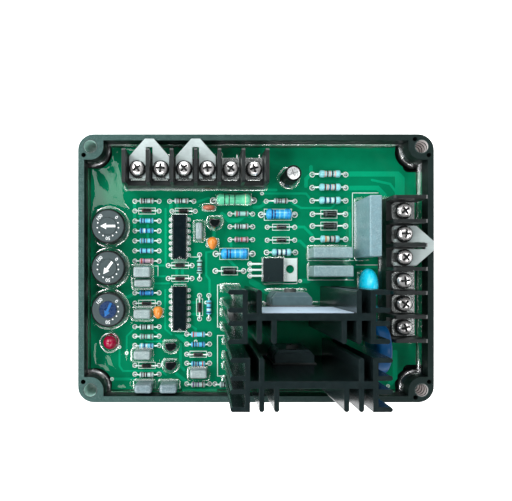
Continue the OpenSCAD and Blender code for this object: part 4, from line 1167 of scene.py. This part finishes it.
# ------------------------------------------------------------------ the resin: a cast slab whose face climbs every wall
def resin():
    lx, ly = 70.45, 52.45
    bx, by, k = 106, 79, 5
    nx, ny = bx * k + 1, by * k + 1
    xs = np.linspace(-lx, lx, nx)
    ys = np.linspace(-ly, ly, ny)
    X, Y = np.meshgrid(xs, ys, indexing="ij")
    climb = np.zeros_like(X)
    bare = np.full_like(X, 99.0)

    def rise(d, h, w):
        """How far the face climbs at a distance d outside a wall; it goes on a little inside, then sinks out of sight."""
        return h * np.exp(-np.clip(d, -0.3, None) / w) * np.exp(np.clip(d + 0.3, None, 0) / 0.25)

    def rect(x, y, l, w, rot=0.0):
        a = math.radians(rot)
        u = (X - x) * math.cos(a) + (Y - y) * math.sin(a)
        v = -(X - x) * math.sin(a) + (Y - y) * math.cos(a)
        du, dv = np.abs(u) - l / 2, np.abs(v) - w / 2
        return np.hypot(np.clip(du, 0, None), np.clip(dv, 0, None)) + np.minimum(np.maximum(du, dv), 0)

    def disc(x, y, r):
        return np.hypot(X - x, Y - y) - r

    uneven = 0.07 * np.sin(X * 0.93 + Y * 0.41 + 0.6) + 0.05 * np.sin(Y * 1.27 - X * 0.58)

    def wall(d, h=1.1, w=0.85):
        nonlocal climb, bare
        climb = np.maximum(climb, rise(np.where(d > 0, d * (1 + uneven), d), h, w))
        bare = np.minimum(bare, d)

    # the tray wall and its bosses
    ax, ay = np.abs(X), np.abs(Y)
    boss = np.minimum(np.hypot(ax - 68, ay - 50) - 5.4, np.minimum(np.maximum(62.6 - ax, 50 - ay), np.maximum(68 - ax, 44.6 - ay)))
    wall(lx - X, 1.6, 0.75)
    wall(ly - Y, 0.45, 0.9)
    wall(np.minimum(lx + X, ly + Y), 0.3, 1.2)
    wall(boss, 1.6, 0.75)
    for b in CAP_BOX + CAP_EDGE + [CAP_TALL] + CAP_LONG:
        wall(rect(b[0], b[1], b[2], b[3]), 1.1, 0.62)
    for x, y, a in TRIMS:
        wall(disc(x, y, 7.2), 1.3, 0.7)
    wall(disc(*LAMP, 2.9), 1.1, 0.65)
    wall(disc(*CAN, 3.25), 1.3, 0.7)
    for x, y in SMALL_TR:
        wall(np.maximum(disc(x, y, 2.4), Y - y - 1.2), 1.2, 0.65)
    for c in CHIPS:
        wall(rect(c[0], c[1], 6.5, 18.9), 0.2, 0.5)
    wall(rect(*DISC_LIGHT, 4.6, 9.6), 1.0, 0.6)
    wall(rect(*DISC_DARK, 5.0, 11.4), 1.0, 0.6)
    wall(rect(TAB_REG[0], TAB_REG[1], 9, 10), 0.3, 0.5)
    for p in CAP_ORANGE:
        wall(rect(p[0], p[1], 4.2, 2.4), 0.5, 0.6)
    wall(rect(*CAP_RED, 4.4, 1.8), 0.6, 0.6)
    for s in (STRIP_TOP, STRIP_RIGHT):
        x, y = turned(s, 0, -0.9)
        wall(rect(x, y, 58.4, 11.2, s[2]), 1.1, 0.6)
        for i in range(7):
            x, y = turned(s, (i - 3) * 9.5, 3)
            wall(rect(x, y, 1.4, 8, s[2]), 1.1, 0.6)
    for hx, hy in SINKS:
        wall(rect(hx, hy, 44, 2.4), 1.0, 0.6)
        wall(rect(hx - 21.1, hy, 1.7, 17.8), 1.0, 0.6)
        for yy in (-8.1, -2.2, 2.2, 8.1):
            wall(rect(hx - 23.9, hy + yy, 5.6, 1.6), 1.0, 0.6)
    wall(rect(SINKS[0][0], SINKS[0][1] + 4.2, 15.6, 5), 1.0, 0.6)

    # the thick green resistor breaks the face
    wall(rect(RES_GREEN[0], RES_GREEN[1], 13.6, 4.0), 0.4, 0.6)

    # slow waves of a hand-poured face
    Z = RESIN_Z + climb + 0.05 * np.sin(X * 0.21 + 1.3) * np.cos(Y * 0.17) + 0.03 * np.sin(X * 0.53 + Y * 0.41)
    verts = np.stack([X.ravel(), Y.ravel(), Z.ravel()], 1)
    idx = np.arange(nx * ny).reshape(nx, ny)
    # a pit inside each trimmer's housing leaves its shaft free to turn
    pit = np.minimum.reduce([disc(x, y, 4.0) for x, y, a in TRIMS])
    inside = (boss > -0.35) & (pit > 0)
    cell = inside[:-1, :-1] & inside[1:, :-1] & inside[1:, 1:] & inside[:-1, 1:]
    live = (climb > 0.15) & (bare > -0.45)
    busy = live[:-1, :-1] | live[1:, :-1] | live[1:, 1:] | live[:-1, 1:] | ~cell
    busy = busy.reshape(bx, k, by, k).any(axis=(1, 3))
    faces = []
    for i in range(bx):
        for j in range(by):
            x0, y0 = i * k, j * k
            if busy[i, j]:
                for x in range(x0, x0 + k):
                    for y in range(y0, y0 + k):
                        if cell[x, y]:
                            faces.append((idx[x, y], idx[x + 1, y], idx[x + 1, y + 1], idx[x, y + 1]))
                continue
            # a flat block is one face that takes the corners of its fine neighbours
            ring = []
            for side, steps in ((j > 0 and busy[i, j - 1], [(x0 + t, y0) for t in range(k)]),
                                (i < bx - 1 and busy[i + 1, j], [(x0 + k, y0 + t) for t in range(k)]),
                                (j < by - 1 and busy[i, j + 1], [(x0 + k - t, y0 + k) for t in range(k)]),
                                (i > 0 and busy[i - 1, j], [(x0, y0 + k - t) for t in range(k)])):
                ring += steps if side else steps[:1]
            faces.append(tuple(idx[q] for q in ring))
    used = sorted(set(i for f in faces for i in f))
    remap = {old: new for new, old in enumerate(used)}
    top = [tuple(verts[i]) for i in used]
    quads = [[remap[i] for i in f] for f in faces]
    # close it: a skirt down to the tray's floor and a bottom
    edges = {}
    for f in quads:
        for i in range(len(f)):
            e = (f[i], f[(i + 1) % len(f)])
            edges[e] = edges.get(e, 0) + 1
    rim = [e for e in edges if (e[1], e[0]) not in edges]
    bm = bmesh.new()
    bv = [bm.verts.new(p) for p in top]
    for q in quads:
        bm.faces.new([bv[i] for i in q])
    low = {}
    for e in rim:
        for i in e:
            if i not in low:
                sunk = any(math.hypot(top[i][0] - x, top[i][1] - y) < 5 for x, y, a in TRIMS)
                low[i] = bm.verts.new((top[i][0], top[i][1], 11.6 if sunk else 2.6))
    for i, j in rim:
        bm.faces.new((bv[j], bv[i], low[i], low[j])).material_index = 1
    nxt = {j: i for i, j in rim}
    while nxt:
        start = next(iter(nxt))
        loop, cur = [start], nxt.pop(start)
        while cur != start:
            loop.append(cur)
            cur = nxt.pop(cur)
        bm.faces.new([low[i] for i in loop])
    acc = Acc()
    bm.verts.index_update()
    acc.add([v.co[:] for v in bm.verts], [[v.index for v in f.verts] for f in bm.faces], [f.material_index for f in bm.faces])
    bm.free()
    return acc.obj("potting_resin_v", [M_RESIN, M_RESIN_SIDE], nodes=("potting_resin",), angle=50, crisp=False)


resin()

# ------------------------------------------------------------------ floor and light
me = bpy.data.meshes.new("floor")
me.from_pydata([(-3, -3, -0.0005), (3, -3, -0.0005), (3, 3, -0.0005), (-3, 3, -0.0005)], [], [(0, 1, 2, 3)])
floor = bpy.data.objects.new("floor", me)
bpy.context.scene.collection.objects.link(floor)
mf = Mat("pale_floor")
mf.color(mf.mix(mf.span(mf.noise(6, 3), 0, 1), (0.9, 0.9, 0.9), (0.93, 0.93, 0.93)))
mf.set(Roughness=0.9, Specular_IOR_Level=0.1)
mf.b.inputs["Emission Color"].default_value = (1, 1, 1, 1)
mf.b.inputs["Emission Strength"].default_value = 1.0
me.materials.append(mf.m)

world = bpy.data.worlds.new("studio")
bpy.context.scene.world = world
world.use_nodes = True
wt = world.node_tree
wt.nodes.clear()
w_out = wt.nodes.new("ShaderNodeOutputWorld")
w_bg = wt.nodes.new("ShaderNodeBackground")
wt.links.new(w_bg.outputs[0], w_out.inputs[0])
w_dir = wt.nodes.new("ShaderNodeTexCoord")
w_sep = wt.nodes.new("ShaderNodeSeparateXYZ")
wt.links.new(w_dir.outputs["Generated"], w_sep.inputs[0])


def w_range(value, f0, f1, t0, t1):
    n = wt.nodes.new("ShaderNodeMapRange")
    n.interpolation_type = "SMOOTHSTEP"
    for k, x in (("From Min", f0), ("From Max", f1), ("To Min", t0), ("To Max", t1)):
        n.inputs[k].default_value = x
    wt.links.new(value, n.inputs["Value"])
    return n.outputs[0]


def w_math(op, a, b):
    n = wt.nodes.new("ShaderNodeMath")
    n.operation = op
    for sock, v in zip(n.inputs, (a, b)):
        if isinstance(v, (int, float)):
            sock.default_value = v
        else:
            wt.links.new(v, sock)
    return n.outputs[0]


# a dark ceiling above a soft ring, brighter on the left
ring = w_math("MULTIPLY", w_range(w_sep.outputs["Z"], 0.84, 0.94, 1.1, 0.05), w_range(w_sep.outputs["Z"], 0.3, 0.65, 1.7, 1.0))
side = w_math("ADD", w_math("MULTIPLY", w_sep.outputs["X"], -0.65), w_math("MULTIPLY", w_sep.outputs["Y"], 0.1))
wt.links.new(w_math("MULTIPLY", ring, w_math("ADD", side, 0.8)), w_bg.inputs["Strength"])
w_bg.inputs["Color"].default_value = (0.93, 0.98, 1.0, 1)


def area(name, loc, target, size, power, color=(1, 1, 1), size_y=None):
    li = bpy.data.lights.new(name, "AREA")
    li.shape = "RECTANGLE"
    li.size = size
    li.size_y = size_y or size
    li.energy = power
    li.color = color
    ob = bpy.data.objects.new(name, li)
    ob.location = loc
    d = Vector(target) - Vector(loc)
    ob.rotation_euler = d.to_track_quat("-Z", "Y").to_euler()
    bpy.context.scene.collection.objects.link(ob)
    return ob


# a polarised overhead light that fills the gaps without a mirror image, two windows seen in the resin's left end,
# and a round of small lamps that draw the wet edges
fill = area("overhead", (-0.62, 0.12, 0.72), (0, 0, 0), 0.45, 1.9)
fill.visible_glossy = False
area("window_rear", (-0.233, 0.186, 1.0), (-0.233, 0.186, 0), 0.07, 0.1, (0.85, 1, 0.95), 0.11)
area("window_front", (-0.245, -0.197, 1.0), (-0.245, -0.197, 0), 0.035, 0.03, (0.85, 1, 0.95), 0.065)
for k, (turn, lift, power) in enumerate(((140, 52, 1.7), (203, 50, 1.7), (78, 55, 1.2), (285, 52, 1.2), (348, 50, 0.7))):
    a, e = math.radians(turn), math.radians(lift)
    area("lamp_%d" % k, (0.8 * math.cos(a) * math.cos(e), 0.8 * math.sin(a) * math.cos(e), 0.8 * math.sin(e)), (0, 0, 0.01), 0.2, power)

# two rounds of strips for the wet and shiny pieces alone
wet = bpy.data.collections.new("wet_pieces")
for name in ("potting_resin_v", "terminal_screws_top_v", "terminal_screws_right_v", "transistors_small_v", "chip_upper_v", "chip_lower_v",
             "tab_regulator_body_v",
             "capacitor_film_tall_v", "capacitors_film_long_v", "capacitors_box_v", "capacitors_edge_v"):
    wet.objects.link(bpy.data.objects[name])
for k in range(20):
    turn, lift, wide, glow = (18 + 36 * k, 55, 0.29, 2.6) if k < 10 else (36 * k, 26, 0.44, 1.6)
    glow *= (1.0, 0.75, 1.15, 0.85, 1.1)[k % 5]
    a, e = math.radians(turn), math.radians(lift)
    loc = (0.8 * math.cos(a) * math.cos(e), 0.8 * math.sin(a) * math.cos(e), 0.8 * math.sin(e))
    glint = area("strip_%d" % k, loc, (0, 0, 0.01), wide, glow * math.pi * wide * 0.14, size_y=0.14)
    glint.visible_diffuse = False
    glint.light_linking.receiver_collection = wet
